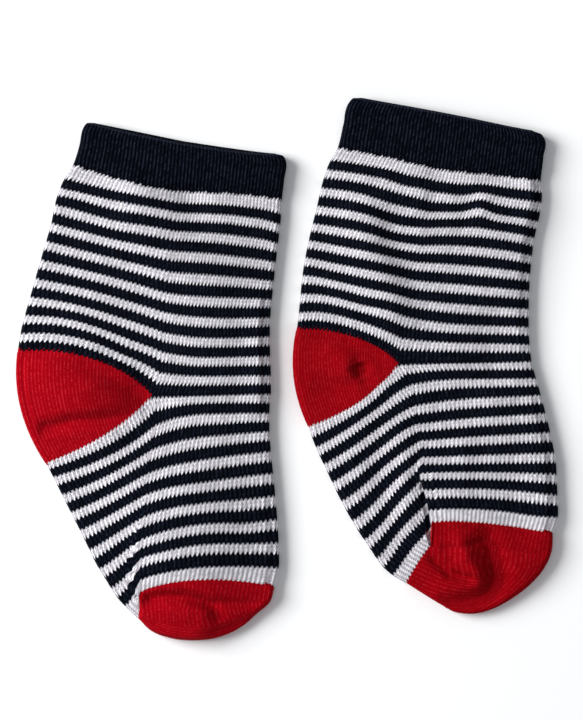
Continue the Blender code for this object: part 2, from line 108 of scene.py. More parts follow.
SOLE_RUN = 6.0                 # levels below the heel over which the pitch settles
SOLE_WHITE = 0.17              # navy left out of the sole below the heel, in levels
SOLE_WHITE_SIDE = 1.5          # wales beside the knee over which that begins
SOLE_WHITE_RUN = 1.2           # levels over which it ends
KNEE_HALF = 8                  # mesh columns on each side of the knee that form the lap
INNER_ROWS = 11                # rows of an inner face
AHEAD = 0.05                   # levels over which an inner face reads its direction
SLIP = 0.9                     # how far cuff, heel and toe reach under the striped tube
SINK = 0.1                     # how far they lie lower there
SINK_RUN = 0.5                 # distance beyond the tube's edge over which that dies away

RIB_RISE = 0.2
RIB_POWER = 0.7                # below 1 a rib is squarer than round
RIB_LOW = 0.62                 # height of the lower ribs against the higher ones
TAPER_START = 0.9              # levels above the tube's edge at which the cuff starts to thin out
TAPER_RUN = 0.8                # levels over which it does
TAPER_END = 0.7                # its wall at the end, against the jersey's
RIM_ROWS = 6                   # rows round the cuff's doubled rim
RIM_MARK = 0.2                 # stitch levels from row to row there
RIM_STEP = 0.26                # levels by which the left cuff's front rim hangs lower
RIM_SIDE = 0.25                # part of the width over which that begins
RIM_RUN = 1.5                  # levels over which it dies away
RIM_INNER = 3                  # rows of the inner face that hang with it

RED_RELIEF = 0.3               # height of the ridges of heel and toe against the tube's
RED_COURSE_RISE = 0.02
HEEL_WALES = 42
HEEL_ROWS = 96
HEEL_AHEAD = 0.01              # share of the heel's edge over which its direction is read
TOE_STEP = 0.19                # spacing of the toe's mesh
TOE_TURN_ROWS = 15             # rows of it that are added for the turn at the tip
TOE_UNDER = 3                  # the lower panel has one row for so many of the upper one
TOE_SOLE_WALE = 1.1            # wale pitch of its lower panel
TOE_CROWN_RUN = 0.8            # part of the toe, back from the tip, in which the panel rises
TOE_LAP_RUN = 0.45             # part of it in which the step dies away
CLIMB_IN = 0.3                 # parts of the fold in which it comes to lie over the tube
CLIMB_OUT = 0.2                # and goes back under it
TOE_OVER = 0.5                 # how far it lies over the tube between them
LEAST_STEP = 0.001
SEAM_EASE = 0.8                # distance from a seam over which the stitches fade in
MARK_STEP = 1.5                # spacing of the places at which a patch's wales are given
PATCH_WALES = 100.0            # keeps the wale numbers of the patches apart

# ---------------------------------------------------------------- the yarn
# Colours of a yarn: as a whole, darkened in the grooves as painted shade, and lightened along the
# ridge of a strand as a painted highlight.
Yarn = namedtuple("Yarn", "plain groove crest")
WHITE = Yarn((0.61, 0.59, 0.63, 1.0), (0.25, 0.22, 0.26, 1.0), (1.0, 0.98, 1.0, 1.0))
NAVY = Yarn((0.002, 0.0027, 0.006, 1.0), (0.0006, 0.001, 0.0028, 1.0),
            (0.018, 0.023, 0.038, 1.0))
# The right sock's red is darker than the left's.
LEFT_RED = Yarn((0.295, 0.0003, 0.0046, 1.0), (0.22, 0.0002, 0.0036, 1.0),
                (0.48, 0.03, 0.042, 1.0))
RIGHT_RED = Yarn((0.25, 0.0003, 0.0032, 1.0), (0.18, 0.0002, 0.0026, 1.0),
                 (0.41, 0.024, 0.034, 1.0))
# How a piece's stitches show: lean of a strand in wales, strength of the bump, shares of the
# groove's painted shade and the ridge's painted highlight, narrowness, patchiness and least share
# of that painted highlight, and spread of tone by stitch and by fuzz.
Look = namedtuple("Look", "lean relief groove crest crest_width patchy least uneven fuzz")
LOOKS = {
    "body": Look(0.55, 0.9, 1.0, 1.0, 2.0, 2.2, 0.45, 0.2, 1.5),
    "cuff": Look(0.25, 0.9, 1.0, 1.0, 2.3, 2.5, 0.1, 0.4, 1.0),
    "heel": Look(0.0, 0.3, 0.3, 0.85, 2.8, 4.5, 0.0, 0.12, 0.9),
    "toe": Look(0.0, 0.3, 0.4, 0.6, 2.6, 5.0, -0.05, 0.12, 0.9),
}
NAVY_PATCHY = 4.0              # patchiness of the painted highlight on the ridges in a navy stripe
SPOTS = 0.7                    # how much the painted highlight along a ridge varies from stitch to stitch
YARN_RISE = 0.1                # height of a strand's bump
GROOVE_POWER = 2.5             # the higher, the narrower the groove between strands
JOINT_POWER = 4.0              # the same for the joint between two courses
JOINT_DEPTH = 0.35
# painted shade darkening the joint between two courses
JOINT_DARK = 0.25
FUZZ_SCALE = 2.6
FUZZ_DETAIL = 4.0
FUZZ_ROUGHNESS = 0.75
STRIPE_WAVER = 0.2             # how far fuzz moves a stripe's edge, in levels
FINGER = 0.22                  # how far navy stitches reach unevenly below the cuff, in levels
FINGER_FROM = 0.1
RIM_LIGHT = 0.7                # share of the painted highlight along the cuff's rim
RIM_LIGHT_AT = 0.05            # levels below the rim
RIM_LIGHT_WIDTH = 0.3
MATTE = 0.03                   # specular level of the yarn

# ---------------------------------------------------------------- the studio, in metres
FLOOR_HALF = 3.0
FLOOR_DROP = 0.0001            # keeps the floor clear of the undersides
PAPER = (0.92, 0.92, 0.92, 1.0)
PAPER_ROUGHNESS = 0.9
LAMP_PLACE = (-1.33, 0.38, 0.96)
LAMP_SIZE = 1.0
LAMP_POWER = 42.5
SKY = (0.93, 0.96, 1.0, 1.0)
SKY_STRENGTH = 0.41
CAMERA_HEIGHT = 1.2
CAMERA_OVER = (0.001307, 0.002193)    # the place below the camera, in the middle of the picture
SENSOR = 36.0                  # millimetres, as in a camera's own data
VIEW_LEVEL = 0.0025            # height over the floor at which the picture's scale is measured
VIEW_HEIGHT = 0.20571          # what the picture's height shows there

# ---------------------------------------------------------------- the tables
Course = namedtuple(
    "Course",
    "level back_x back_y back_deg knee_x knee_y knee_in knee_out "
    "front_x front_y front_deg lap_x lap_y lap",
    defaults=(0.0, 0.0, 0.0),
)
# A ridge or trough of the upper panel: its half width, and points with the rise at each.
Crease = namedtuple("Crease", "width path")
# A place where the courses are pulled up or down the sock: its middle, reach and pull.
Tug = namedtuple("Tug", "x y reach_x reach_y pull")
# A patch of the toe: the area it fills and some of its wales, each with its number.
Patch = namedtuple("Patch", "area wales")
Sock = namedtuple(
    "Sock", "name leg foot heel_bulge toe_outline creases tugs seams patches rim_step red")

LEFT_LEG = (
    Course(-5.4, -57.3, 71.3, -10, -29.9, 65.7, -11, -9, -1.9, 62.1, -4),
    Course(-4.7, -58.4, 69.7, -12, -30, 63.9, -11, -8, -0.9, 60.3, -5),
    Course(-2.5, -59.7, 64.3, -15, -30.4, 58, -9, -5, -1.3, 54.6, -8),
    Course(0, -61.6, 58.9, -20, -31, 51.3, -6, -1, -1.9, 48.9, -10),
    Course(1.4, -63.9, 55.1, -16, -31.3, 48.2, -8, 0, -2.1, 44.9, -14),
    Course(7.4, -68.4, 40, -15, -33.3, 31.6, -11, -3, -3.9, 28.6, -9),
    Course(13.4, -73, 24.1, -9, -35.6, 14.3, -20, -13, -5.3, 12.9, 3),
    Course(19.4, -77, 8.3, 6, -37.6, -3.4, -40, -4, -5, -3.7, 0),
    Course(HEEL_LEVEL, -77.3, 5.7, 5, -39, -7.1, -50, 0, -5, -6.3, 1),
)
LEFT_FOOT = (
    Course(HEEL_LEVEL, -69.3, -26.3, 20, -39, -7.1, 50, 0, -5, -6.3, 1),
    Course(21.4, -68.4, -28, 18, -38.4, -11.4, 46, 17, -5.3, -9.1, -1),
    Course(25.4, -63.6, -37.6, 20, -40.1, -25.7, 32, 24, -5.3, -19.7, 5),
    Course(29.4, -58.4, -47.7, 26, -41.3, -38.1, 32, 24, -4.1, -32, 5),
    Course(33.4, -52.7, -58.3, 28, -44.7, -52.9, 36, 26, -3, -45.1, 2, 2.3, 2, 0.3),
    Course(35.4, -49, -64.6, 40, -45, -60.6, 48, 26, -2.7, -52, -2, 2.3, 4, 0.45),
    Course(36.4, -47, -66.9, 40, -43.9, -63.1, 60, 25, -2.7, -55.7, -2, 1.2, 3.4, 0.45),
    Course(TOE_LEVEL, -42.9, -70.8, 60, -41.6, -68, 80, 26, -3.9, -61.7, -13, -1.3, 4.6, 0.2),
)
RIGHT_LEG = (
    Course(-5.4, 19, 78.7, -10, 45.3, 73.6, -11, -11, 71.3, 68.6, -9),
    Course(-4.7, 17.3, 76.6, -11, 45, 71.6, -11, -10, 72.9, 66.6, -9),
    Course(-2.5, 15.7, 70.3, -11, 44.1, 64.9, -12, -7, 72.7, 60.9, -8),
    Course(0, 14, 63.7, -11, 43, 57.6, -14, -5, 72.1, 54.4, -7),
    Course(1.4, 12.1, 60.3, -8, 42.1, 54.8, -13, -3, 72.4, 51.3, -10),
    Course(7.4, 7.6, 44.7, -5, 38.7, 38.7, -12, 2, 69.9, 35.7, -14),
    Course(13.4, 4.4, 29.7, -8, 35.3, 23.9, -13, -8, 68.7, 20.6, -4),
    Course(19.4, 2.7, 14.1, 6, 31.9, 6.7, -36, -4, 69.1, 5.4, -1),
    Course(HEEL_LEVEL, 2.4, 11.7, 4, 31.3, 2, -50, 2, 69.4, 3, 2),
)
RIGHT_FOOT = (
    Course(HEEL_LEVEL, 5.7, -16, 20, 31.3, 2, 58, 2, 69.4, 3, 2),
    Course(21.4, 6.7, -18.9, 25, 33.3, -0.8, 44, 10, 70, 0.6, 0),
    Course(25.4, 11.1, -28.9, 28, 35.9, -12.6, 28, 12, 72.7, -9.1, 5),
    Course(29.4, 16.4, -39.7, 31, 37.7, -22.4, 34, 5, 75.3, -20, 3, 0, 0.3, 0.1),
    Course(31.4, 19.7, -45.4, 32, 37.3, -28.3, 40, 2, 76.4, -26, 1, 0.4, 1.6, 0.5),
    Course(33.4, 23.2, -50.6, 40, 37.6, -35.3, 42, 3, 76.7, -32.1, -5, 0.4, 4.3, 1),
    Course(35.4, 27, -56, 50, 38.9, -42.1, 42, 4, 77, -38.1, -7, 0.6, 5.9, 1),
    Course(36.4, 29.5, -58.2, 54, 39.6, -45.6, 46, 4, 77, -41.3, -6, 0.6, 6.4, 0.9),
    Course(TOE_LEVEL, 33.6, -60.6, 62, 40.7, -49.7, 50, 6, 75.6, -46.3, -8, 0.1, 6.7, 0.9),
)
LEFT_TOE_OUTLINE = (
    (-39.6, -74), (-33.9, -76.3), (-27.6, -77), (-19.6, -76), (-13.9, -73.4),
    (-8.7, -69.1), (-5.3, -66),
)
RIGHT_TOE_OUTLINE = (
    (37.6, -63.1), (43.3, -66.6), (47.6, -68.9), (51.9, -69.4), (56.7, -68.6),
    (63.3, -65.4), (69, -61.1), (73.3, -56), (75.3, -51.1),
)
LEFT_CREASES = (
    # Heel's gore.
    Crease(2.1, ((-73, -18, 0), (-69, -16.2, -1.8), (-62, -14.2, -2.3), (-52, -13.6, -2.1),
        (-46, -13, -1.1), (-42.5, -12.5, 0))),
    Crease(7, ((-69.5, 7, 0.5), (-68.5, 3, 1.5), (-68, -3, 1.2), (-68, -10, 0.4))),
    # Swell of it.
    Crease(10, ((-60, 1, 1.8), (-57.5, -5, 3), (-55.5, -13, 2.4), (-55.5, -20, 0.6))),
    Crease(8, ((-66, 4, 0), (-68, -4, 0.6), (-64, -14, 0.6), (-62, -20, 0))),
    # Groove below the leg.
    Crease(2.8, ((-76, 4.6, -0.2), (-69, 4.6, -0.9), (-60, 2.6, -1), (-51, -1.4, -1.2),
        (-45, -5, -0.8))),
    # Hollow before its corner.
    Crease(5.5, ((-44, 4, -0.3), (-40.5, -3, -1.6), (-39.5, -9, -2.4), (-41.5, -16, -0.7))),
    # Long ridge down the leg.
    Crease(6, ((-43, 56, 1.8), (-42.5, 46, 2), (-40, 39, 1.2), (-36, 26, 0.3), (-31, 8, 0))),
    Crease(5, ((-29, 56, -1.7), (-27.5, 46, -1.7), (-25, 40, -1), (-21.5, 32, 0))),
    Crease(12, ((-36, 54, 0.4), (-32, 40, 1.6), (-27, 28, 2), (-22.5, 16, 2.1), (-20.5, 6, 1.3),
        (-20, -4, 0.4))),
    Crease(4, ((-7.5, 24, 0), (-7.5, 16, 1.3), (-7.5, -8, 1.3), (-7.5, -16, 0))),
    # Instep's roll.
    Crease(18, ((-34.5, -13, 0), (-34, -28, 2.4), (-32, -40, 4.4), (-30.5, -52, 5),
        (-29.5, -62, 3.8), (-29, -72, 2))),
    Crease(4, ((-24, -65, 0.3), (-24, -69, 1.1), (-24.5, -73, 0.9))),
    Crease(4, ((-63, -20, 0), (-57, -29, -0.4), (-51, -38, 0))),
    # Toe seam.
    Crease(1.9, ((-42, -66, 0), (-39.5, -65, -2), (-35, -64.3, -2.3), (-30, -64.3, -2.4),
        (-25, -65.4, -2.4), (-21.8, -67, -1.9), (-19.8, -69.5, -1), (-18.8, -71.5, 0))),
    # And on to the front.
    Crease(1.5, ((-23, -66, -0.6), (-18, -66, -1.1), (-12, -66.3, -0.8), (-8, -66.5, -0.3))),
    # Swell below the toe seam.
    Crease(5, ((-41, -69.5, 0.3), (-34, -69.5, 1), (-29, -69.5, 1.2), (-26, -70, 0.7))),
    Crease(1.6, ((-27, -74.5, 0), (-22, -75.2, -0.9), (-16, -73.4, -1.3), (-10, -70.4, -0.8),
        (-8, -69, 0))),
    Crease(1.2, ((-42, -69.6, 0), (-38, -71.6, -0.4), (-33, -73.4, 0))),
)
RIGHT_CREASES = (
    # Dimple of the heel.
    Crease(2.3, ((19.6, 2.4, -0.8), (20.1, 1, -2.8), (20.9, -0.4, -2.8), (21.8, -1.8, -1))),
    Crease(3.6, ((13, 4.5, 0.6), (16.3, 1.8, 1.5), (17.3, -1.4, 1.3), (17, -4, 0.4))),
    Crease(3.4, ((6, -3.8, 0), (10, -4.6, -0.7), (13.5, -5.2, -1.1), (17, -5.2, -0.9),
        (20, -5, 0))),
    Crease(2.2, ((4, 9.5, 0), (10, 9.6, -0.7), (17, 8, -0.9), (25, 4.4, -0.7), (29, 1, 0))),
    # Long ridge down the leg.
    Crease(6.5, ((17.5, 54, 0.5), (20.2, 45, 1.9), (23.2, 34.6, 2.7), (26.8, 27.4, 3),
        (30.2, 16, 2.4), (32, 8, 0))),
    Crease(6, ((60, 54, 0), (60, 47, 1), (60, 22, 1), (60, 12, 0))),
    Crease(4.5, ((27, 50, 0), (29.5, 42, -1.2), (32, 33, -0.9), (36, 25, -0.4), (38.5, 16, 0))),
    Crease(3, ((37, 60, 0.3), (37, 48, 0.4), (37, 42, 0))),
    Crease(3, ((42, 60, -0.4), (42, 48, -0.8), (43, 40, 0))),
    Crease(2.8, ((56.5, 53, 0), (56, 50, 0.9), (54, 43, 0.9), (53, 38, 0))),
    Crease(3, ((52, 53, 0), (51, 47, -0.7), (49.5, 39, -0.3))),
    Crease(6, ((47, 24, 0), (47, 14, 0.5), (46.5, 2, 0.5), (46.5, -5, 0))),
    Crease(6, ((57, 22, 0), (57, 12, -0.5), (57, -2, -0.4), (57, -7, 0))),
    # Front fold stands up.
    Crease(5, ((71, 60, 1.8), (70, 50, 2), (68, 40, 1.7), (66.5, 30, 1.1), (66, 20, 0.7),
        (66.5, 8, 0.6), (67, 2, 0.3))),
    Crease(3.5, ((16, -17, 0), (18.5, -24, 0.5), (20, -30, 0.3))),
    # Trough along the sole.
    Crease(4, ((22.5, -13, 0), (24.5, -20, -0.8), (27, -34, -1), (29, -42, 0))),
    Crease(3, ((32, -10, 0), (33, -18, 0.6), (33.3, -27, 1), (34.5, -42, 0.7))),
    Crease(5, ((59.5, -2, 0), (60, -8, 1.2), (60, -14, 0.8), (60, -24, 0.3), (60, -30, 0))),
    Crease(3, ((50, -16, 0), (50, -22, 0.7), (50, -33, 0.7), (50, -38, 0))),
    Crease(3.2, ((55, -14, 0), (55, -24, -0.4), (55, -31, 0))),
    Crease(4.5, ((67.5, -4, 0.3), (69.5, -16, 1.2), (72, -30, 1.2), (74, -42, 0.7),
        (71.5, -52, 0.7), (66, -59, 0.7), (60, -64, 0.3))),
    Crease(4, ((62, -22, 0), (63, -30, -0.4), (64, -40, -0.3))),
    # Toe seam.
    Crease(1.2, ((43, -50.4, 0), (46, -50.3, -0.5), (50.5, -50, -0.7), (55, -48.6, -0.7),
        (61, -50.8, -0.4), (72, -52.3, -0.3))),
    # Round the curl.
    Crease(2.9, ((54, -44, 0), (56.8, -47, -1.3), (58.4, -51, -1.8), (59.6, -56, -1.9),
        (60.2, -60, -1.7), (57.8, -63.4, -1.5), (53, -65.2, -1.2), (46, -65.8, -0.9),
        (42, -65.2, 0))),
    # Fold across the curl.
    Crease(1.4, ((39, -51.5, 0), (41.5, -54, -1.3), (46, -58, -1.4), (51, -59.3, -1.3),
        (56, -58.8, -0.3))),
    # The curl itself.
    Crease(3.2, ((48.6, -45, 0.4), (49.4, -49.5, 2.4), (50.8, -53.5, 3.5), (53.6, -57.5, 3.5),
        (53.4, -60.6, 2.3), (48, -62, 1.5), (44, -62.4, 0.9))),
)
LEFT_TUGS = (
    Tug(-23.9, -30.6, 11, 9, -0.7),
    Tug(-12.1, -43.1, 7, 7, -0.75),
    Tug(-32.4, 23.1, 12, 6, -0.5),
    Tug(-45.9, 7.4, 7, 5, -0.7),
    Tug(-48.7, 42.6, 6, 5, -0.4),
    Tug(-25.9, 44.6, 8, 6, -0.4),
    Tug(-62, 48, 6, 3, 0.5),
    Tug(-51, 13, 8, 6, -0.35),
    Tug(-28, 3, 9, 6, -0.45),
    Tug(-54.5, -54, 6, 7, -0.8),
    Tug(-41, -55, 4, 5, 0.45),
    Tug(-19, -14, 7, 5, -0.35),
    Tug(-7, 40, 4, 8, 0.3),
)
RIGHT_TUGS = (
    Tug(43.3, 48.9, 14, 5.5, -1.6),
    Tug(31.3, 41.7, 6, 6, -0.9),
    Tug(54.4, 46.6, 3.2, 5, 1.1),
    Tug(63.9, 47.4, 8, 5, -1.1),
    Tug(39, 12.5, 20, 5.5, -1.25),
    Tug(29.6, -33, 7, 11, 0.85),
    Tug(6.5, 25, 6, 16, 0.55),
    Tug(21.5, 20, 6, 6, -0.65),
    Tug(28, 49.5, 6, 4.5, -0.55),
    Tug(49, 52, 4.5, 3.5, -0.7),
    Tug(36.5, 22.5, 9, 7, -0.4),
    Tug(70, -40, 6, 3, -0.5),
    Tug(28.5, -5.5, 5, 3, 0.7),
    Tug(33, -17, 5, 5, 0.5),
    Tug(33, -49, 4, 4, 0.6),
    Tug(33.6, 54.6, 4, 3, -0.6),
    Tug(55, -1, 12, 3, -0.4),
    Tug(71, 44.3, 4, 4, -0.5),
)
LEFT_SEAM = (
    (-45, -66), (-41.5, -65.4), (-40.5, -64.2), (-39, -63.6), (-36, -63.4),
    (-33, -63.4), (-28, -63.6), (-25, -64), (-22, -64.7), (-20, -65.2),
    (-17, -65.3), (-14, -65.2), (-10, -65.5), (-3, -66),
)
LEFT_RIM = (
    (-45, -69), (-41.5, -69), (-38, -71.1), (-35, -72), (-30, -72.8),
    (-25, -73.2), (-22, -73.2), (-19, -72.4), (-16, -71.5), (-13, -70),
    (-9, -67.8), (-5, -66.4), (0, -66),
)
LEFT_PATCHES = (
    Patch(LEFT_SEAM + ((-3, -57), (-45, -57)), (
        (0, (-42, -62.5), (-42, -65.5)),
        (10, (-30, -60), (-30.2, -64)),
        (15, (-24, -59.5), (-24.8, -64.5)),
        (20, (-17.8, -59), (-19.2, -65.5)),
        (25, (-11.8, -59.5), (-13, -66)),
        (31, (-4.6, -60.5), (-5.5, -66)))),
    Patch(LEFT_RIM + ((0, -80), (-45, -80)), (
        (0, (-42, -69), (-38, -71.2), (-33, -72.6), (-27, -73.2), (-22, -73),
         (-17, -71.8), (-12, -69.4), (-8, -66.8)),
        (3, (-43, -70.5), (-40, -72.3), (-35, -74.4), (-29, -75.5), (-23, -75.3),
         (-17, -73.9), (-11.5, -70.9), (-6.5, -67)))),
    Patch(None, (
        (0, (-40, -65), (-39.5, -70)),
        (5, (-34.3, -64.2), (-34, -72)),
        (9, (-29.6, -64.5), (-30.6, -68), (-30, -72)),
        (11, (-27, -65), (-28.2, -68.5), (-27.6, -72.5)),
        (13, (-25, -65), (-25.6, -68.5), (-25, -72.5)),
        (16, (-21, -66), (-21.6, -69), (-20, -72.3)),
        (20, (-16.5, -66), (-16, -69), (-15, -71)),
        (25, (-11, -66), (-10.5, -68.5)))),
)
RIGHT_SEAM = (
    (38, -50.4), (42, -50.4), (46, -50.2), (50.5, -50), (52.2, -49.2), (55, -48.5),
    (57, -49), (59, -49.8), (61, -50.8), (64, -51.2), (67, -51.8), (70, -52.2),
    (78, -52.5),
)
RIGHT_TROUGH = (
    (57.2, -49.2), (57.4, -52), (57.5, -56.5), (57.9, -60.3), (57.2, -62), (55.8, -63.5),
    (54, -64.3), (51, -65), (47, -65.4), (43, -65.3), (39, -64.2), (33, -62),
)
RIGHT_CREASE = (
    (38, -51), (40.5, -52.8), (42, -55), (44, -57), (46, -58), (48, -58.8),
    (51, -59.3), (54, -59.1), (57.7, -58.6),
)
RIGHT_PATCHES = (
    Patch(RIGHT_SEAM + ((78, -40), (38, -40)), (
        (0, (43.9, -42.5), (43.8, -51)),
        (5, (49.9, -42), (49.7, -50.5)),
        (9, (54.6, -42.5), (54, -49.5)),
        (14, (60.7, -43.5), (59, -50)),
        (18, (65.4, -44.5), (63.4, -51)),
        (22, (69.8, -45), (68.2, -51.5)),
        (27, (74.9, -45.5), (74.2, -52)))),
    Patch(RIGHT_SEAM[:7] + RIGHT_TROUGH[1:3] + RIGHT_CREASE[::-1], (
        (0, (43.6, -50), (43.6, -55)),
        (1, (45.2, -50), (45.2, -57)),
        (3, (48.2, -50), (48.2, -54.5), (49.2, -58.5)),
        (5, (51.3, -49.5), (51, -54.2), (52.3, -59)),
        (7, (55, -49), (53.6, -54), (55.2, -59)),
        (8, (57, -50), (55.6, -55), (56.8, -58.8)))),
    Patch(RIGHT_CREASE + RIGHT_TROUGH[3:], (
        (0, (38.5, -53.5), (42, -55.3), (45.5, -57.8), (50, -59.2), (55, -59.4)),
        (3, (37, -56.8), (41, -58.6), (45, -60.2), (50, -61.4), (54, -61.9),
         (57, -60.5)),
        (6, (35.5, -60), (40, -62.2), (44, -63.6), (49, -64.3), (53, -63.9)),
        (8, (34.5, -61.5), (39, -64), (43, -65.4), (48, -66)))),
    Patch(None, (
        (0, (59.4, -51.5), (59.3, -54), (58.7, -57), (58.7, -60), (57.9, -62.3),
         (55.5, -64.9), (52, -66.1), (48, -66.8), (42, -66.4)),
        (4, (64.4, -52), (64, -55), (62.8, -57.5), (61.2, -60), (59.5, -62.3),
         (57.3, -64.6), (54.5, -66.3), (51, -67.7), (47, -69.2)),
        (8, (69.7, -52), (69.2, -56), (67.3, -59.3), (65.2, -61.5), (62.3, -64.1),
         (59, -66.4), (55, -68.6)),
        (12, (74.5, -52), (73, -57), (69.5, -61.5)))),
)
SOCKS = (
    Sock("sock_left", LEFT_LEG, LEFT_FOOT, (-6.9, -0.6), LEFT_TOE_OUTLINE, LEFT_CREASES,
         LEFT_TUGS, (LEFT_SEAM, LEFT_RIM), LEFT_PATCHES, RIM_STEP, LEFT_RED),
    Sock("sock_right", RIGHT_LEG, RIGHT_FOOT, (-5.4, -0.4), RIGHT_TOE_OUTLINE, RIGHT_CREASES,
         RIGHT_TUGS, (RIGHT_SEAM, RIGHT_TROUGH, RIGHT_CREASE), RIGHT_PATCHES, 0.0,
         RIGHT_RED),
)


# ---------------------------------------------------------------- curves and rows
def smooth(value):
    """Ease from 0 to 1 as the value goes from 0 to 1."""
    value = np.clip(value, 0.0, 1.0)
    return value * value * (3.0 - 2.0 * value)


def heading(degrees):
    return np.array((math.cos(math.radians(degrees)), math.sin(math.radians(degrees))))


def blended(t, start, leave, end, arrive):
    """Smooth curve from start to end, with its direction at each, read at t from 0 to 1."""
    return ((2 * t**3 - 3 * t**2 + 1) * start + (t**3 - 2 * t**2 + t) * leave
            + (3 * t**2 - 2 * t**3) * end + (t**3 - t**2) * arrive)


def curve(start, start_deg, end, end_deg, t):
    """Points at each t of the smooth curve between two points with the given headings."""
    span = np.linalg.norm(end - start)
    t = np.asarray(t, float)[:, None]
    return blended(t, start, heading(start_deg) * span, end, heading(end_deg) * span)


def between(rows, knots, at):
    """Smooth curve through the rows at their knots, read at one value or at several."""
    rows = np.asarray(rows, float)
    knots = np.asarray(knots, float)
    at = np.asarray(at, float)
    steps = np.diff(knots).reshape((-1,) + (1,) * (rows.ndim - 1))
    slopes = np.diff(rows, axis=0) / steps
    inner = (slopes[:-1] * steps[1:] + slopes[1:] * steps[:-1]) / (steps[1:] + steps[:-1])
    tangents = np.concatenate((slopes[:1], inner, slopes[-1:]))
    i = np.clip(np.searchsorted(knots, at) - 1, 0, len(knots) - 2)
    step = np.diff(knots)[i]
    t = (at - knots[i]) / step
    if rows.ndim > 1 and at.ndim:
        t = t[:, None]
        step = step[:, None]
    return blended(t, rows[i], step * tangents[i], rows[i + 1], step * tangents[i + 1])


def course_at(table, level):
    """The course at any level of a table."""
    values = between(table, [row.level for row in table], level)
    return Course(*values)._replace(lap=min(max(values[-1], 0.0), 1.0))


def nearest_on(line, points):
    """Distance of each point from a line of straight runs, and the line's last column there."""
    line = np.asarray(line, float)
    nearest = np.full(len(points), np.inf)
    value = np.zeros(len(points))
    for start, end in zip(line, line[1:]):
        run = end - start
        along = np.clip((points - start[:2]) @ run[:2] / (run[:2] @ run[:2]), 0.0, 1.0)
        off = np.linalg.norm(points - start[:2] - run[:2] * along[:, None], axis=1)
        value = np.where(off < nearest, start[-1] + run[-1] * along, value)
        nearest = np.minimum(off, nearest)
    return nearest, value


def creased(creases, points):
    """Rise of the upper panel at each point."""
    total = np.zeros(len(points))
    for crease in creases:
        off, rise = nearest_on(crease.path, points)
        total += rise * np.exp(-(off / crease.width) ** 2)
    return total


def tugged(tugs, points):
    """How far the cloth is pulled along y at each point."""
    total = np.zeros(len(points))
    for tug in tugs:
        across = (points[:, 0] - tug.x) / tug.reach_x
        down = (points[:, 1] - tug.y) / tug.reach_y
        total += tug.pull * np.exp(-across * across - down * down)
    return total


class Cloth:
    """Wall, fold radius, crown and creases of a piece."""

    def __init__(self, wall, crown, creases):
        self.crown = crown
        self.creases = creases
        self.wall = wall
        self.radius = wall + 0.5 * HOLLOW      # of the outer face round a fold
        self.turn = QUARTER * self.radius      # arc length of a quarter turn there
        self.deepest = 2.0 * wall + LEAST_HOLLOW - 2.0 * self.radius

    def bend(self, arc, radius):
        """Plan distance from the fold, and rise over its middle, of a face with this radius."""
        angle = np.minimum(arc / self.radius, QUARTER)
        distance = self.radius - radius * np.cos(angle) ** FOLD_POWER
        return distance + np.maximum(arc - self.turn, 0.0), radius * np.sin(angle) ** FOLD_POWER

    def lift(self, points, distance):
        """How far the upper panel is above its plain height, at a distance from the fold."""
        inward = distance - self.radius
        rise = self.crown * smooth(inward / CROWN_RUN)
        rise += creased(self.creases, points) * smooth(inward / RISE_RUN)
        return np.maximum(rise, self.deepest)


class Ring:
    """Where the wales of a closed ring lie: upper panel from back to front, then lower panel."""

    def __init__(self):
        over = np.arange(WALES * FINE + 1) / FINE
        under = WALES - np.arange(1, WALES * PLAIN) / PLAIN
        self.wale = np.concatenate((over, under))      # counted from the back fold
        self.size = len(self.wale)
        self.upper = len(over)
        self.top = np.arange(self.size) < self.upper
        self.back = self.wale <= BACK_WALES
        self.phase = np.mod(self.wale, 1.0)
        self.knee = BACK_WALES * FINE
        self.low_knee = self.upper - 1 + FRONT_WALES * PLAIN
        self.in_fold = np.arange(self.knee - KNEE_HALF, self.knee + KNEE_HALF + 1)
        # 0 to 1 across the lap's columns of the upper panel, 0 all over the lower one.
        along = (np.arange(self.size) - self.in_fold[0]) / (2.0 * KNEE_HALF)
        self.fold = np.where(self.top, np.clip(along, 0.0, 1.0), 0.0)


RING = Ring()


def tucked(wales, pitch, reach):
    """Arc length of each wale from the back fold, with the spare ones squeezed in at the end."""
    raw = wales * pitch
    spare = BACK_WALES * pitch - reach
    if spare < LEAST_SPARE:
        return raw * reach / (BACK_WALES * pitch)
    most = spare + TUCK
    soft_run = TUCK * (1.0 - TUCK_EVEN)

    def squeeze(excess):
        soft = (1.0 - TUCK_EVEN) * (1.0 - np.exp(-excess / soft_run))
        return soft + TUCK_EVEN * excess / most

    over = np.maximum(raw - (reach - TUCK), 0.0)
    return np.minimum(raw, reach - TUCK) + TUCK * squeeze(over) / squeeze(most)


def sole_pitch(sock, level, extra):
    """Wale pitch of the sole: below the heel it settles to its own value."""
    first = course_at(sock.foot, HEEL_LEVEL)
    span = math.hypot(first.knee_x - first.back_x, first.knee_y - first.back_y)
    start = (span + extra) / BACK_WALES
    return start + (SOLE_PITCH - start) * smooth((level - HEEL_LEVEL) / SOLE_RUN)


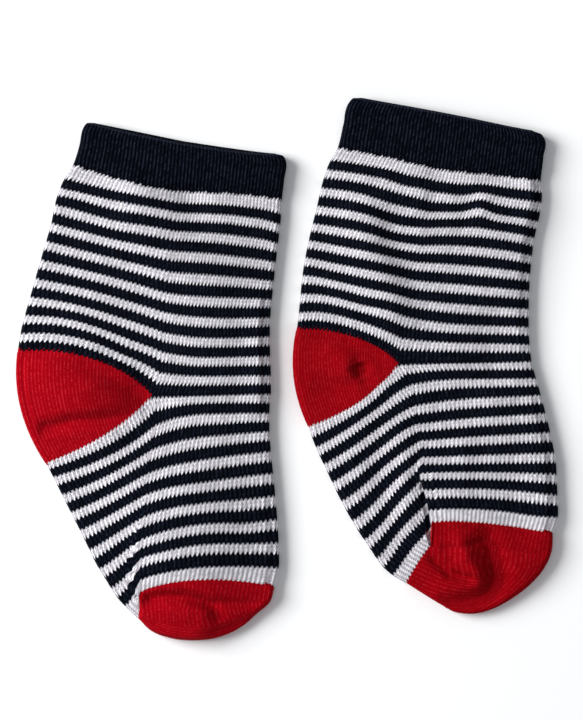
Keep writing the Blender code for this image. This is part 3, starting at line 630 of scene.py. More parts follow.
def ring_points(sock, level, cloth, foot, folded=True):
    """Points, wale numbers and evenness of the ring at a level of the leg or the foot.

    The evenness is 1 where the wales have their full width, and falls to 0 where they are
    tucked away. Where the cloth laps, a folded ring hangs over its lower layer, and one that
    isn't folded only climbs from the lower layer to the upper one.
    """
    ring = RING
    c = course_at(sock.foot if foot else sock.leg, level)
    back = np.array((c.back_x, c.back_y))
    low = np.array((c.knee_x, c.knee_y))
    shift = np.array((c.lap_x, c.lap_y))
    high = low + shift
    front = np.array((c.front_x, c.front_y))
    back_span = np.linalg.norm(low - back)
    front_span = np.linalg.norm(front - high)
    extra = cloth.turn - cloth.radius

    back_pitch = (back_span + extra) / BACK_WALES
    if foot:
        back_pitch = max(back_pitch, sole_pitch(sock, level, extra))
    front_pitch = (front_span + extra) / FRONT_WALES
    arc = np.empty(ring.size)
    arc[ring.back] = tucked(ring.wale[ring.back], back_pitch, back_span + extra)
    arc[~ring.back] = (WALES - ring.wale[~ring.back]) * front_pitch
    distance, rise = cloth.bend(arc, cloth.radius)
    plan = np.empty((ring.size, 2))
    plan[ring.back] = curve(back, c.back_deg, low, c.knee_in, distance[ring.back] / back_span)
    plan[~ring.back] = curve(high, c.knee_out, front, c.front_deg,
                             1.0 - distance[~ring.back] / front_span)

    # The shift between the layers: over the lap's columns where it hangs, evenly elsewhere.
    from_knee = np.where(ring.back, back_span, front_span) - distance
    over = smooth((c.lap - LAP_OVER) / (1.0 - LAP_OVER))
    side = np.where(ring.back, 0.0, 1.0)
    past_knee = np.where(ring.back, -from_knee, from_knee)
    even = smooth(0.5 + (past_knee + LAP_BEFORE) / LAP_SPREAD)
    even += (smooth(ring.fold) - even) * over
    even = np.where(ring.top, even, side)
    plan += shift * (even - side)[:, None]
    closing = np.where(ring.top, 0.0, 1.0 - smooth(from_knee / LAP_UNDER))
    plan += shift * (closing * (0.5 - side))[:, None]
    plan[:, 1] += tugged(sock.tugs, plan)

    from_back = np.where(ring.back, distance, back_span + from_knee)
    from_front = np.where(ring.back, front_span + from_knee, distance)
    lift = cloth.lift(plan, np.minimum(from_back, from_front))
    height = cloth.radius + np.where(ring.top, rise + lift, -rise)

    evenness = np.ones(ring.size)
    for columns, per_wale in ((slice(0, ring.knee + 1), FINE), (slice(ring.low_knee, None), PLAIN)):
        width = np.abs(np.gradient(arc[columns])) * per_wale
        evenness[columns] = smooth(width / FULL_WALE)

    if c.lap > 0.0:
        fold = ring.fold[ring.in_fold]
        decay = 1.0 - smooth(from_knee / LAP_RUN)
        step = (LAP_GAP + LAP_LIFT) * np.where(ring.top, even * decay, 0.0)
        if folded:
            tilt = heading(0.5 * (c.knee_in + c.knee_out) * (1.0 - c.lap))
            across = between(LAP_FOLD, LAP_AT, fold)[:, None] * tilt
            share = between(LAP_SHARE, LAP_AT, fold)[:, None]
            fold_step = between(LAP_RISE, LAP_AT, fold)
        else:
            across = np.zeros(2)
            share = smooth(fold)[:, None]
            fold_step = (LAP_GAP + LAP_LIFT) * smooth(fold)
        step[ring.in_fold] += (fold_step - step[ring.in_fold]) * over
        height += c.lap * step
        plan[ring.in_fold] += (low + shift * share + across - plan[ring.in_fold]) * over
        evenness[ring.in_fold] *= 1.0 - over * (1.0 - smooth((fold - LAP_EDGE) / LAP_FADE))
    number = np.where(ring.back, arc / back_pitch, ring.wale)
    return np.column_stack((plan, height)), number, evenness


def across_wale(phase, values):
    """Reads the values at quarters of a wale at any place across it."""
    return np.interp(phase, np.linspace(0.0, 1.0, len(values) + 1), values + values[:1])


def grid_normals(points, closed):
    """Outward normals of a grid of points: rows by columns by 3."""
    if closed:
        across = np.roll(points, -1, axis=1) - np.roll(points, 1, axis=1)
    else:
        across = np.gradient(points, axis=1)
    normals = np.cross(np.gradient(points, axis=0), across)
    length = np.linalg.norm(normals, axis=2, keepdims=True)
    return normals / np.maximum(length, 1e-9)


def spread(levels):
    """The level of each point of a closed grid, from the levels of its rows."""
    return np.repeat(np.asarray(levels, float)[:, None], RING.size, axis=1)


def spaced_rows(count):
    """The rows of an outer face that its inner face has too."""
    return np.unique(np.linspace(0, count - 1, INNER_ROWS).round().astype(int))


def slipped(beyond, depth=SINK):
    """How far a face lies lower, at a distance beyond the edge of the tube over it."""
    return depth * (1.0 - smooth(beyond / SINK_RUN))


# ---------------------------------------------------------------- meshes
class Shell:
    """Vertices, faces and stitch coordinates of a knitted shell."""

    def __init__(self):
        self.points = []
        self.count = 0
        self.quads = []
        self.marks = []
        self.triangles = []
        self.triangle_marks = []

    def grid(self, points):
        """Adds a grid of points and returns its vertex numbers."""
        numbers = self.count + np.arange(points.shape[0] * points.shape[1])
        self.points.append(points.reshape(-1, 3))
        self.count += len(numbers)
        return numbers.reshape(points.shape[:2])

    def skin(self, index, wale, level, closed, inside=False):
        """Faces of a grid of vertex numbers. wale and level are the stitch coordinates."""
        # Winding: columns run from back to front over the top, rows run down the sock.
        order = (0, 1, 2, 3) if inside else (3, 2, 1, 0)
        found = []
        for grid in (index, wale, level):
            right = np.roll(grid, -1, axis=1)
            if not closed:
                grid, right = grid[:, :-1], right[:, :-1]
            corners = (grid[:-1], right[:-1], right[1:], grid[1:])
            found.append(np.stack([corners[k].ravel() for k in order], axis=1))
        self.quads.append(found[0])
        self.marks.append(np.stack(found[1:], axis=2))

    def zip_up(self, first, second, mark, flip):
        """Triangles between two columns of vertex numbers that have different lengths."""
        a = b = 0
        while a < len(first) - 1 or b < len(second) - 1:
            if (a + 1) * (len(second) - 1) <= (b + 1) * (len(first) - 1) and a < len(first) - 1:
                corners = (first[a], second[b], first[a + 1])
                a += 1
            else:
                corners = (first[a], second[b], second[b + 1])
                b += 1
            self.triangles.append(corners[::-1] if flip else corners)
            self.triangle_marks.append((mark,) * 3)

    def wall(self, outer, inner, wale, level, some, side_level=None, flip=False):
        """Both faces of a wall, with its rims.

        some picks the outer rows whose stitch coordinates the inner face takes. A wall with a
        side_level, the coordinate of its two sides, isn't closed round.
        """
        closed = side_level is None
        first = self.grid(outer)
        second = self.grid(inner)
        self.skin(first, wale, level, closed, inside=flip)
        self.skin(second, wale[some], level[some], closed, inside=not flip)
        for end in (0, -1):
            rows = [second[end], first[end]]
            if (end == 0) == flip:
                rows.reverse()
            self.skin(np.stack(rows), wale[[end, end]], level[[end, end]], closed)
        if not closed:
            for end in (0, -1):
                mark = (0.0, side_level)
                self.zip_up(first[:, end], second[:, end], mark, (end == 0) != flip)

    def make(self, name, material):
        points = np.concatenate(self.points)
        points[:, 0] -= PAIR_CENTRE[0]
        points[:, 1] -= PAIR_CENTRE[1]
        points[:, 2] = np.maximum(points[:, 2], 0.0)
        faces = np.concatenate(self.quads).tolist() + self.triangles
        marks = np.concatenate(self.marks).reshape(-1)
        if self.triangles:
            marks = np.concatenate((marks, np.array(self.triangle_marks, float).reshape(-1)))
        mesh = bpy.data.meshes.new(name)
        mesh.from_pydata((points * MM).tolist(), [], faces)
        layer = mesh.uv_layers.new(name="stitches")
        layer.uv.foreach_set("vector", marks.astype(np.float32))
        mesh.shade_smooth()
        mesh.materials.append(material)
        piece = bpy.data.objects.new(name, mesh)
        bpy.context.scene.collection.objects.link(piece)
        return piece


# ---------------------------------------------------------------- the striped tube
# The leg or the foot: levels of its rows, wale numbers, vertex numbers of both faces, and the
# rows that the inner face has.
Stretch = namedtuple("Stretch", "levels wales outer inner few")


def tube_face(sock, levels, cloth, foot, seed):
    """Grid of the tube's outer face with its stitches raised, and its wale numbers."""
    slants, which = np.unique(across_wale(RING.phase, SLANTS), return_inverse=True)
    points = np.empty((len(levels), RING.size, 3))
    wales = np.empty((len(levels), RING.size))
    evenness = np.empty((len(levels), RING.size))
    for r, level in enumerate(levels):
        flat, wales[r], evenness[r] = ring_points(sock, level, cloth, foot)
        stack = [ring_points(sock, level + slant, cloth, foot)[0] for slant in slants]
        slanted = np.choose(which[:, None], stack)
        points[r] = flat + (slanted - flat) * evenness[r][:, None]
    course = np.mod(np.round((levels - FIRST_NAVY) * COURSES * ROWS), ROWS)
    rise = across_wale(RING.phase, RIDGE) + COURSE_RISE * (course[:, None] - 0.5)
    rise = rise + np.random.default_rng(seed).normal(0.0, NOISE["body"], rise.shape)
    return points + grid_normals(points, True) * (rise * evenness)[:, :, None], wales


def inside_ring(sock, level, cloth, foot):
    """The wall's inner face at one level: the ring's points, moved in by the wall."""
    points = ring_points(sock, level, cloth, foot, folded=False)[0]
    around = np.roll(points, -1, axis=0) - np.roll(points, 1, axis=0)
    ahead = ring_points(sock, level + AHEAD, cloth, foot, folded=False)[0] - points
    normal = np.cross(ahead, around)
    normal /= np.maximum(np.linalg.norm(normal, axis=1, keepdims=True), 1e-9)
    return points - normal * cloth.wall


def make_stretch(sock, shell, cloth, foot):
    """Adds the points of the leg or the foot to a shell."""
    first, last = (HEEL_LEVEL, TOE_LEVEL) if foot else (BODY_TOP, HEEL_LEVEL)
    levels = np.arange(round((last - first) / ROW) + 1) * ROW + first
    outer, wales = tube_face(sock, levels, cloth, foot, SEEDS["foot" if foot else "leg"])
    few = spaced_rows(len(levels))
    inner = np.stack([inside_ring(sock, level, cloth, foot) for level in levels[few]])
    return Stretch(levels, wales, shell.grid(outer), shell.grid(inner), few)


def make_body(sock, material):
    """The striped tube: leg and foot, joined in front of the opening that the heel fills."""
    cloth = Cloth(JERSEY_WALL, JERSEY_CROWN, sock.creases)
    shell = Shell()
    leg = make_stretch(sock, shell, cloth, False)
    foot = make_stretch(sock, shell, cloth, True)
    shared = ~RING.back | (np.arange(RING.size) == RING.knee)
    foot.outer[0, shared] = leg.outer[-1, shared]
    foot.inner[0, shared] = leg.inner[-1, shared]
    for part in (leg, foot):
        level = spread(part.levels)
        if part is foot:
            # The sole starts in white below the heel.
            sole = smooth((BACK_WALES - RING.wale) / SOLE_WHITE_SIDE)
            level += SOLE_WHITE * (1.0 - smooth((level - HEEL_LEVEL) / SOLE_WHITE_RUN)) * sole
        shell.skin(part.outer, part.wales, level, True)
        shell.skin(part.inner, part.wales[part.few], spread(part.levels[part.few]), True,
                   inside=True)
    # Rims: the top, the toe end and the opening that the heel fills.
    whole = np.arange(RING.size)
    around = np.concatenate((whole[RING.low_knee:], whole[:RING.knee + 1]))
    for part, end, columns, white in ((leg, 0, whole, 0.0), (foot, -1, whole, 0.0),
                                      (leg, -1, around, 0.0), (foot, 0, around, SOLE_WHITE)):
        rows = [part.outer[end, columns], part.inner[end, columns]]
        if end == 0:
            rows.reverse()
        wales = part.wales[end, columns]
        level = np.full((2, len(columns)), part.levels[end] + white)
        shell.skin(np.stack(rows), np.stack((wales, wales)), level, columns is whole)
    return shell.make(f"{sock.name}_body_knit", material)


# ---------------------------------------------------------------- the cuff
def rib_rise(rows):
    """Height of the rib over its middle surface: every other wale stands higher."""
    ridge = np.abs(np.sin(math.pi * RING.wale)) ** RIB_POWER
    strong = 0.5 + 0.5 * np.cos(math.pi * (RING.wale - 0.5))
    height = RIB_RISE * (ridge * (RIB_LOW + (1.0 - RIB_LOW) * strong) - 0.5)
    return height + COURSE_RISE * (np.mod(rows, ROWS)[:, None] - 0.5) * ridge


def make_cuff(sock, material):
    """The doubled rib, rolled over at its rim."""
    rib = Cloth(CUFF_WALL, CUFF_CROWN, ())
    jersey = Cloth(JERSEY_WALL, JERSEY_CROWN, sock.creases)
    levels = np.arange(CUFF_TOP + 0.5 * CUFF_WALL / STRIPE, BODY_TOP + SLIP / STRIPE, ROW)
    taper = smooth((levels - BODY_TOP + TAPER_START) / TAPER_RUN)[:, None, None]
    plain, tube = (np.stack([ring_points(sock, level, cloth, False)[0] for level in levels])
                   for cloth in (rib, jersey))
    base = plain + (tube - plain) * taper
    normals = grid_normals(base, True)
    inner = base - normals * (CUFF_WALL + (TAPER_END * JERSEY_WALL - CUFF_WALL) * taper)
    rise = rib_rise(np.arange(len(levels)))
    sink = slipped((BODY_TOP - levels) * STRIPE)
    outer = base + normals * (rise - sink[:, None])[:, :, None]
    # The rim turns over from the outer to the inner face.
    up = base[0] - base[1]
    up /= np.linalg.norm(up, axis=1, keepdims=True)
    angles = math.pi / RIM_ROWS * np.arange(RIM_ROWS - 1, 0, -1)[:, None, None]
    turn = 0.5 * (base[0] + inner[0]) + 0.5 * (base[0] - inner[0]) * np.cos(angles)
    turn = turn + up * 0.5 * CUFF_WALL * np.sin(angles)
    turn = turn + normals[0] * rise[0][:, None] * np.cos(0.5 * angles)
    outer = np.concatenate((turn, outer))
    levels = np.concatenate((CUFF_TOP - RIM_MARK * np.arange(len(turn))[::-1], levels))
    if sock.rim_step:
        across = np.clip(RING.wale / WALES, 0.0, 1.0)
        hang = smooth(across / RIM_SIDE) * smooth((1.0 - across) / RIM_SIDE)
        hang = np.where(RING.top, sock.rim_step * STRIPE * hang, 0.0)
        fade = 1.0 - smooth((levels - CUFF_TOP) / RIM_RUN)
        drop = up * (hang * fade[:, None])[:, :, None]
        outer -= drop
        inner[:RIM_INNER] -= drop[len(turn):][:RIM_INNER]
    few = spaced_rows(len(inner))
    shell = Shell()
    wales = np.tile(RING.wale, (len(outer), 1))
    shell.wall(outer, inner[few], wales, spread(levels), few + len(turn))
    return shell.make(f"{sock.name}_cuff_knit", material)


# ---------------------------------------------------------------- the heel
def heel_plan(sock, share, v):
    """Plan points of the heel: share runs from the back fold to the corner, v down the sock."""
    ends = []
    for table, side in ((sock.leg, 1.0), (sock.foot, -1.0)):
        c = course_at(table, HEEL_LEVEL)
        back = np.array((c.back_x, c.back_y))
        low = np.array((c.knee_x, c.knee_y))
        point = curve(back, c.back_deg, low, c.knee_in, share)
        ahead = curve(back, c.back_deg, low, c.knee_in, share + HEEL_AHEAD) - point
        normal = np.column_stack((-ahead[:, 1], ahead[:, 0]))
        normal /= np.linalg.norm(ahead, axis=1)[:, None]
        ends.append(point + normal * side * SLIP)
    leg_side, foot_side = ends
    bend = 0.5 * (leg_side + foot_side) + np.array(sock.heel_bulge) * (1.0 - share)[:, None]
    return (1 - v) ** 2 * leg_side + 2 * v * (1 - v) * bend + v * v * foot_side


def make_heel(sock, material):
    """The heel pocket, folded along the back of the sock."""
    cloth = Cloth(JERSEY_WALL, JERSEY_CROWN, sock.creases)
    over = np.arange(HEEL_WALES * FINE, -1, -1) / FINE
    under = np.arange(1, HEEL_WALES * PLAIN + 1) / PLAIN
    wale = np.concatenate((over, under))
    top = np.arange(len(wale)) < len(over)
    base, lining = np.empty((2, HEEL_ROWS + 1, len(wale), 3))
    for row in range(HEEL_ROWS + 1):
        v = row / HEEL_ROWS
        back, corner = heel_plan(sock, np.array((0.0, 1.0)), v)
        span = np.linalg.norm(corner - back)
        arc = wale / HEEL_WALES * (span + cloth.turn - cloth.radius)
        for face, radius in ((base, cloth.radius), (lining, 0.5 * HOLLOW)):
            distance, rise = cloth.bend(arc, radius)
            plan = heel_plan(sock, distance / span, v)
            lift = cloth.lift(plan, distance)
            height = cloth.radius + np.where(top, rise + lift, -rise)
            face[row] = np.column_stack((plan, height))
    steps = np.linalg.norm(np.diff(base[..., :2], axis=0), axis=2)
    from_leg = np.vstack((np.zeros(len(wale)), np.cumsum(steps, axis=0)))
    down = np.minimum(from_leg, from_leg[-1] - from_leg) - SLIP
    level = HEEL_LEVEL + down / STRIPE
    rise = RED_RELIEF * across_wale(np.mod(wale, 1.0), RIDGE)
    rise = rise + RED_COURSE_RISE * (np.mod(np.floor(level * COURSES * ROWS), ROWS) - 0.5)
    rise = rise - slipped(down)
    rise = rise + np.random.default_rng(SEEDS["heel"]).normal(0.0, NOISE["heel"], rise.shape)
    outer = base - grid_normals(base, False) * rise[:, :, None]
    few = spaced_rows(len(outer))
    wales = np.tile(np.where(top, wale, -wale), (len(outer), 1))
    shell = Shell()
    shell.wall(outer, lining[few], wales, level, few, HEEL_LEVEL, flip=True)
    return shell.make(f"{sock.name}_heel_knit", material)


# ---------------------------------------------------------------- the toe
# The toe's upper panel at each column of its mesh: the border along the tube, the way from it to
# the tip, the distance along the border from the back and from the nearer end, how far the
# border climbs a lap, and how much the panel and the tube rise there.
ToeEdges = namedtuple("ToeEdges", "border run from_back from_end climb plain lapped")


def along_line(line, shares, straight=False):
    """Points at the given shares of the length of a line, smooth or of straight runs."""
    lengths = np.concatenate(([0.0], np.cumsum(np.linalg.norm(np.diff(line, axis=0), axis=1))))
    at = np.asarray(shares) * lengths[-1]
    if straight:
        return np.column_stack([np.interp(at, lengths, values) for values in line.T])
    return between(line, lengths, at)


def within(area, points):
    """Which points lie inside a closed area."""
    inside = np.zeros(len(points), bool)
    x, y = points.T
    for (x0, y0), (x1, y1) in zip(area, area[1:] + area[:1]):
        crosses = (y0 > y) != (y1 > y)
        with np.errstate(divide="ignore", invalid="ignore"):
            left = x < (x1 - x0) * (y - y0) / (y1 - y0) + x0
        inside ^= crosses & left
    return inside


def bent_sheet(places, values, points):
    """Smooth interpolation of values at places, read at the points (a thin plate)."""
    def kernel(a, b):
        square = np.sum((a[:, None] - b[None]) ** 2, axis=2)
        return 0.5 * square * np.log(square + 1e-9)

    count = len(places)
    flat = np.column_stack((np.ones(count), places))
    system = np.zeros((count + 3, count + 3))
    system[:count, :count] = kernel(places, places)
    system[:count, count:] = flat
    system[count:, :count] = flat.T
    weights = np.linalg.solve(system, np.vstack((values, np.zeros((3, values.shape[1])))))
    flat = np.column_stack((np.ones(len(points)), points))
    return kernel(points, places) @ weights[:count] + flat @ weights[count:]


def patch_marks(patches, points):
    """Wale number and run along the wale of each point of the toe."""
    marks = np.zeros((len(points), 2))
    free = np.ones(len(points), bool)
    for k, patch in enumerate(patches):
        inside = free & within(patch.area, points) if patch.area else free.copy()
        free &= ~inside
        places = []
        values = []
        for number, *line in patch.wales:
            line = np.array(line, float)
            length = np.linalg.norm(np.diff(line, axis=0), axis=1).sum()
            shares = np.linspace(0.0, 1.0, max(int(length / MARK_STEP), 2))
            places.append(along_line(line, shares, straight=True))
            values.append(np.column_stack((np.full(len(shares), number), shares * length)))
        marks[inside] = bent_sheet(np.vstack(places), np.vstack(values), points[inside])
        marks[inside, 0] += PATCH_WALES * k
    return marks


def toe_edges(sock, cloth):
    """Border and tip of the toe's upper panel at each column of its mesh."""
    hangs = course_at(sock.foot, TOE_LEVEL).lap > LAP_OVER
    ring, under = (ring_points(sock, level, cloth, True, folded=False)[0][:RING.upper]
                   for level in (TOE_LEVEL, TOE_LEVEL - SLIP / STRIPE))
    steps = np.linalg.norm(np.diff(ring[:, :2], axis=0), axis=1)
    apart = np.concatenate(([True], steps > LEAST_STEP))
    rows = np.column_stack((ring, under, RING.fold[:RING.upper]))[apart]
    length = np.linalg.norm(np.diff(rows[:, :2], axis=0), axis=1).sum()
    shares = np.linspace(0.0, 1.0, int(length / TOE_STEP))
    rows = along_line(rows, shares, straight=True)
    corners = []
    for corner, beside in ((rows[0, :2], rows[1, :2]), (rows[-1, :2], rows[-2, :2])):
        inward = (beside - corner) / np.linalg.norm(beside - corner)
        corners.append(corner + inward * SINK)
    outline = np.vstack((corners[0], sock.toe_outline, corners[1]))

    ends = cloth.radius / length
    kept = (shares >= ends) & (shares <= 1.0 - ends)
    rows = rows[kept]
    shares = (shares[kept] - ends) / (1.0 - 2.0 * ends)
    ring_xy, under_xy, under_height, fold = rows[:, :2], rows[:, 3:5], rows[:, 5], rows[:, 6]
    # Where its border climbs a hanging lap, the toe lies over the tube and hides the fold.
    climb = smooth(fold / CLIMB_IN) * smooth((1.0 - fold) / CLIMB_OUT) * hangs
    border = under_xy + (ring_xy - under_xy) * climb[:, None]
    from_end = np.minimum(shares, 1.0 - shares) * length
    plain = JERSEY_CROWN * smooth(from_end / CROWN_RUN)
    lapped = under_height - 2.0 * cloth.radius - plain
    lapped -= creased(sock.creases, border) * smooth(from_end / RISE_RUN)
    run = along_line(outline, shares) - border
    return ToeEdges(border, run, shares * length, from_end, climb, plain, lapped)


def toe_face(cloth, edges, radius, over, under, lapped):
    """Grid of one face of the toe, with its stations over the upper and the lower panel."""
    span = np.linalg.norm(edges.run, axis=1)
    station = np.concatenate((over, under))[:, None]
    top = (np.arange(len(station)) < len(over))[:, None]
    flat = span - cloth.radius
    along = station * (flat + QUARTER * radius)
    angle = np.clip((along - flat) / radius, 0.0, QUARTER)
    out = np.minimum(along, flat) + radius * np.sin(angle) ** FOLD_POWER
    plan = edges.border + edges.run / span[:, None] * out[:, :, None]
    rise = radius * np.cos(angle) ** FOLD_POWER
    bumps = creased(cloth.creases, plan.reshape(-1, 2)).reshape(out.shape)
    near = np.minimum(span - out, edges.from_end)
    lift = edges.plain * smooth((1.0 - station) / TOE_CROWN_RUN) + bumps * smooth(near / RISE_RUN)
    lift = np.maximum(lift, cloth.deepest) + lapped * (1.0 - smooth(station / TOE_LAP_RUN))
    return np.dstack((plan, cloth.radius + np.where(top, rise + lift, -rise)))


def make_toe(sock, material):
    """The toe pocket: each mesh column runs over the tip from upper to lower panel."""
    cloth = Cloth(JERSEY_WALL, JERSEY_CROWN, sock.creases)
    edges = toe_edges(sock, cloth)
    rows = int(np.linalg.norm(edges.run, axis=1).max() / TOE_STEP) + TOE_TURN_ROWS
    outer = toe_face(cloth, edges, cloth.radius, np.linspace(0.0, 1.0, rows),
                     np.linspace(1.0, 0.0, rows // TOE_UNDER)[1:], edges.lapped)
    inner = toe_face(cloth, edges, 0.5 * HOLLOW, np.linspace(0.0, 1.0, INNER_ROWS),
                     np.linspace(1.0, 0.0, INNER_ROWS)[1:], 0.0)

    flat = outer[..., :2].reshape(-1, 2)
    marks = patch_marks(sock.patches, flat).reshape(outer.shape[:2] + (2,))
    wale, run = marks[..., 0], marks[..., 1]
    wale[rows:] = edges.from_back / TOE_SOLE_WALE
    ease = np.ones(len(flat))
    for seam in sock.seams:
        ease = np.minimum(ease, smooth(nearest_on(seam, flat)[0] / SEAM_EASE))
    ease = ease.reshape(wale.shape)
    ease[rows:] = 1.0
    rise = RED_RELIEF * across_wale(np.mod(wale, 1.0), RIDGE)
    rise = rise + RED_COURSE_RISE * np.cos(2.0 * math.pi * run * COURSES / STRIPE)
    draw = np.random.default_rng(SEEDS["toe"])
    rise = rise * ease + draw.normal(0.0, NOISE["toe"], rise.shape)
    beyond = np.linalg.norm(outer[..., :2] - edges.border, axis=2) - SLIP
    rise = rise - slipped(beyond, SINK - (SINK + TOE_OVER) * edges.climb)
    outer = outer + grid_normals(outer, False) * rise[:, :, None]
    some = np.linspace(0, len(outer) - 1, len(inner)).astype(int)
    shell = Shell()
    shell.wall(outer, inner, wale, TOE_LEVEL + run / STRIPE, some, TOE_LEVEL)
    return shell.make(f"{sock.name}_toe_knit", material)


# ---------------------------------------------------------------- materials
class Nodes:
    """Short hand for a material's node tree."""

    def __init__(self, name):
        self.material = bpy.data.materials.new(name)
        self.material.use_nodes = True
        self.tree = self.material.node_tree
        self.shader = self.tree.nodes["Principled BSDF"]

    def add(self, kind, **settings):
        node = self.tree.nodes.new(kind)
        for key, value in settings.items():
            setattr(node, key, value)
        return node

    def feed(self, socket, value):
        if isinstance(value, bpy.types.NodeSocket):
            self.tree.links.new(value, socket)
        else:
            socket.default_value = value

    def math(self, operation, *values, clamp=False):
        node = self.add("ShaderNodeMath", operation=operation, use_clamp=clamp)
        for socket, value in zip(node.inputs, values):
            self.feed(socket, value)
        return node.outputs[0]

    def mix(self, factor, first, second, **settings):
        node = self.add("ShaderNodeMix", data_type="RGBA", **settings)
        self.feed(node.inputs["Factor"], factor)
        self.feed(node.inputs["A"], first)
        self.feed(node.inputs["B"], second)
        return node.outputs["Result"]

    def from_middle(self, value):
        """0 where the value is a half, 1 where it is 0 or 1."""
        off = self.math("ABSOLUTE", self.math("SUBTRACT", value, 0.5))
        return self.math("MULTIPLY", off, 2.0)


def knit_material(name, kind, yarn):
    """Knitting in yarn colours with painted groove shade and ridge highlights: kind is body, heel,
    toe or cuff.
    """
    look = LOOKS[kind]
    nodes = Nodes(name)
    uv = nodes.add("ShaderNodeUVMap", uv_map="stitches")
    split = nodes.add("ShaderNodeSeparateXYZ")
    nodes.feed(split.inputs[0], uv.outputs[0])
    wale, level = split.outputs[0], split.outputs[1]
    course = nodes.math("MULTIPLY", nodes.math("SUBTRACT", level, FIRST_NAVY), COURSES)
    down = nodes.math("FRACT", course)
    lean = nodes.math("MULTIPLY_ADD", down, look.lean, wale)
    stitch = nodes.add("ShaderNodeCombineXYZ")
    nodes.feed(stitch.inputs[0], nodes.math("FLOOR", lean))
    nodes.feed(stitch.inputs[1], nodes.math("FLOOR", course))
    draw = nodes.add("ShaderNodeTexWhiteNoise", noise_dimensions="2D")
    nodes.feed(draw.inputs["Vector"], stitch.outputs[0])
    by_stitch = draw.outputs["Value"]
    even = nodes.add("ShaderNodeVectorMath", operation="MULTIPLY")
    nodes.feed(even.inputs[0], uv.outputs[0])
    even.inputs[1].default_value = (1.0, STRIPE, 1.0)
    fuzz = nodes.add("ShaderNodeTexNoise", noise_dimensions="2D")
    nodes.feed(fuzz.inputs["Vector"], even.outputs[0])
    fuzz.inputs["Scale"].default_value = FUZZ_SCALE
    fuzz.inputs["Detail"].default_value = FUZZ_DETAIL
    fuzz.inputs["Roughness"].default_value = FUZZ_ROUGHNESS
    loose = nodes.math("SUBTRACT", fuzz.outputs[0], 0.5)

    # Height of the yarn: a leaning strand for each stitch, with a groove beside it.
    off = nodes.from_middle(nodes.math("FRACT", lean))
    groove = nodes.math("POWER", off, GROOVE_POWER)
    crest = nodes.math("MULTIPLY_ADD", off, -look.crest_width, 1.0, clamp=True)
    joint = nodes.math("POWER", nodes.from_middle(down), JOINT_POWER)
    height = nodes.math("SUBTRACT", 1.0, groove)
    height = nodes.math("MULTIPLY_ADD", joint, -JOINT_DEPTH, height)
    height = nodes.math("ADD", loose, height)
    bump = nodes.add("ShaderNodeBump")
    bump.inputs["Strength"].default_value = look.relief
    bump.inputs["Distance"].default_value = YARN_RISE * MM
    nodes.feed(bump.inputs["Height"], height)
    nodes.feed(nodes.shader.inputs["Normal"], bump.outputs[0])

    # Colour: painted shade in the grooves and the joints, painted highlights here and there along
    # the ridge of a strand.
    deep = nodes.math("MULTIPLY", groove, look.groove)
    deep = nodes.math("MULTIPLY_ADD", joint, JOINT_DARK * look.groove, deep, clamp=True)
    lit = nodes.math("MULTIPLY", crest, look.crest)

    def shades(one, patchy, least):
        """Colour of a yarn with painted shade in its grooves, its painted ridge highlight showing
        in patches.
        """
        spots = nodes.math("MULTIPLY_ADD", by_stitch, SPOTS, least)
        spots = nodes.math("MULTIPLY_ADD", loose, patchy, spots, clamp=True)
        inner = nodes.mix(deep, one.plain, one.groove)
        return nodes.mix(nodes.math("MULTIPLY", lit, spots), inner, one.crest)

    colour = shades(yarn, look.patchy, look.least)
    if kind == "body":
        # Navy stripes, and the cuff's navy reaching unevenly into the white below it.
        shift = nodes.math("MULTIPLY_ADD", loose, STRIPE_WAVER, level)
        pair = nodes.math("MULTIPLY", nodes.math("SUBTRACT", shift, FIRST_NAVY), 0.5)
        dark = nodes.math("LESS_THAN", nodes.math("FRACT", pair), NAVY_SHARE)
        dark = nodes.math("MULTIPLY", dark, nodes.math("GREATER_THAN", shift, FIRST_NAVY))
        dark = nodes.math("MULTIPLY", dark, nodes.math("LESS_THAN", shift, LAST_NAVY))
        finger = nodes.add("ShaderNodeTexWhiteNoise", noise_dimensions="1D")
        nodes.feed(finger.inputs["W"], nodes.math("FLOOR", wale))
        reach = nodes.math("MULTIPLY_ADD", finger.outputs["Value"], -FINGER,
                           FIRST_WHITE + FINGER_FROM)
        dark = nodes.math("MAXIMUM", dark, nodes.math("LESS_THAN", shift, reach))
        colour = nodes.mix(dark, colour, shades(NAVY, NAVY_PATCHY, 0.0))
    if kind == "cuff":
        # The doubled rim catches the light.
        rim = nodes.math("ABSOLUTE", nodes.math("SUBTRACT", level, CUFF_TOP + RIM_LIGHT_AT))
        rim = nodes.math("MULTIPLY_ADD", rim, -1.0 / RIM_LIGHT_WIDTH, 1.0, clamp=True)
        colour = nodes.mix(nodes.math("MULTIPLY", rim, RIM_LIGHT), colour, yarn.crest)
    tone = nodes.math("MULTIPLY_ADD", by_stitch, look.uneven, 1.0 - 0.5 * look.uneven)
    tone = nodes.math("MULTIPLY_ADD", loose, look.fuzz, tone)
    tones = nodes.add("ShaderNodeCombineColor")
    for socket in tones.inputs[:3]:
        nodes.feed(socket, tone)
    colour = nodes.mix(1.0, colour, tones.outputs[0], blend_type="MULTIPLY")
    nodes.feed(nodes.shader.inputs["Base Color"], colour)
    nodes.shader.inputs["Roughness"].default_value = 1.0
    nodes.shader.inputs["Specular IOR Level"].default_value = MATTE
    return nodes.material


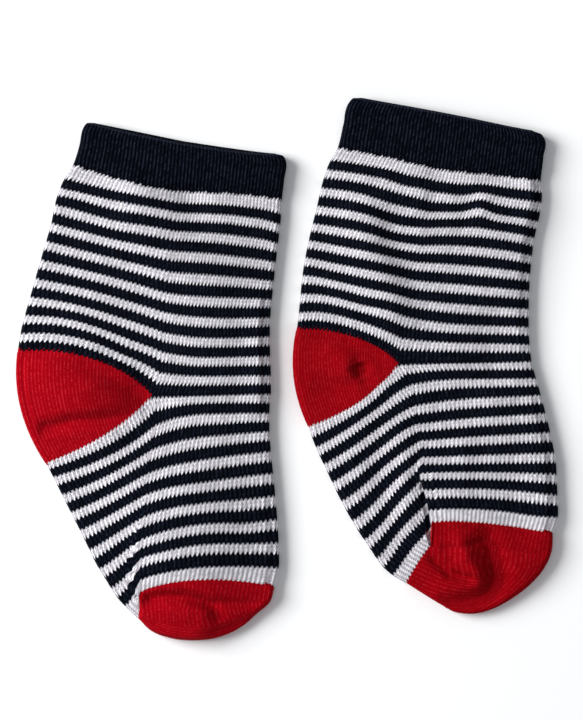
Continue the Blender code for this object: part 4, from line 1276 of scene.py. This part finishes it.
# ---------------------------------------------------------------- studio
def make_studio():
    """Pale paper floor, one broad soft lamp from the left and an even sky."""
    paper = Nodes("floor_paper")
    paper.shader.inputs["Base Color"].default_value = PAPER
    paper.shader.inputs["Roughness"].default_value = PAPER_ROUGHNESS
    corners = [(x * FLOOR_HALF, y * FLOOR_HALF, 0) for x, y in ((-1, -1), (1, -1), (1, 1), (-1, 1))]
    mesh = bpy.data.meshes.new("floor")
    mesh.from_pydata(corners, [], [(0, 1, 2, 3)])
    mesh.materials.append(paper.material)
    floor = bpy.data.objects.new("floor", mesh)
    floor.location.z = -FLOOR_DROP
    bpy.context.scene.collection.objects.link(floor)

    key = bpy.data.lights.new("key", "AREA")
    key.size = LAMP_SIZE
    key.energy = LAMP_POWER
    lamp = bpy.data.objects.new("key", key)
    lamp.location = LAMP_PLACE
    lamp.rotation_mode = "QUATERNION"
    lamp.rotation_quaternion = lamp.location.to_track_quat("Z", "Y")
    bpy.context.scene.collection.objects.link(lamp)

    world = bpy.data.worlds.new("studio")
    world.use_nodes = True
    sky = world.node_tree.nodes["Background"]
    sky.inputs["Color"].default_value = SKY
    sky.inputs["Strength"].default_value = SKY_STRENGTH
    bpy.context.scene.world = world
    bpy.context.scene.view_settings.view_transform = "Standard"


def make_camera():
    """Camera straight above the socks."""
    data = bpy.data.cameras.new("camera")
    data.sensor_fit = "VERTICAL"
    data.sensor_height = SENSOR
    data.sensor_width = SENSOR
    data.lens = SENSOR * (CAMERA_HEIGHT - VIEW_LEVEL) / VIEW_HEIGHT
    camera = bpy.data.objects.new("camera", data)
    camera.location = (*CAMERA_OVER, CAMERA_HEIGHT)
    bpy.context.scene.collection.objects.link(camera)
    bpy.context.scene.camera = camera


make_camera()
make_studio()
PIECES = (
    ("cuff", make_cuff, "navy_rib", (0.122, 0.016)),
    ("body", make_body, "striped_jersey", (0.122, 0.105)),
    ("heel", make_heel, "red_jersey", (0.080, 0.020)),
    ("toe", make_toe, "red_jersey", (0.090, 0.0145)),
)
for kind, make_piece, slot, flat in PIECES:
    for sock in SOCKS:
        yarn = {"cuff": NAVY, "body": WHITE}.get(kind, sock.red)
        piece = make_piece(sock, knit_material(f"{sock.name}_{kind}_knit", kind, yarn))
        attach(piece, "root")
        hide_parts(f"{sock.name}_{kind}")
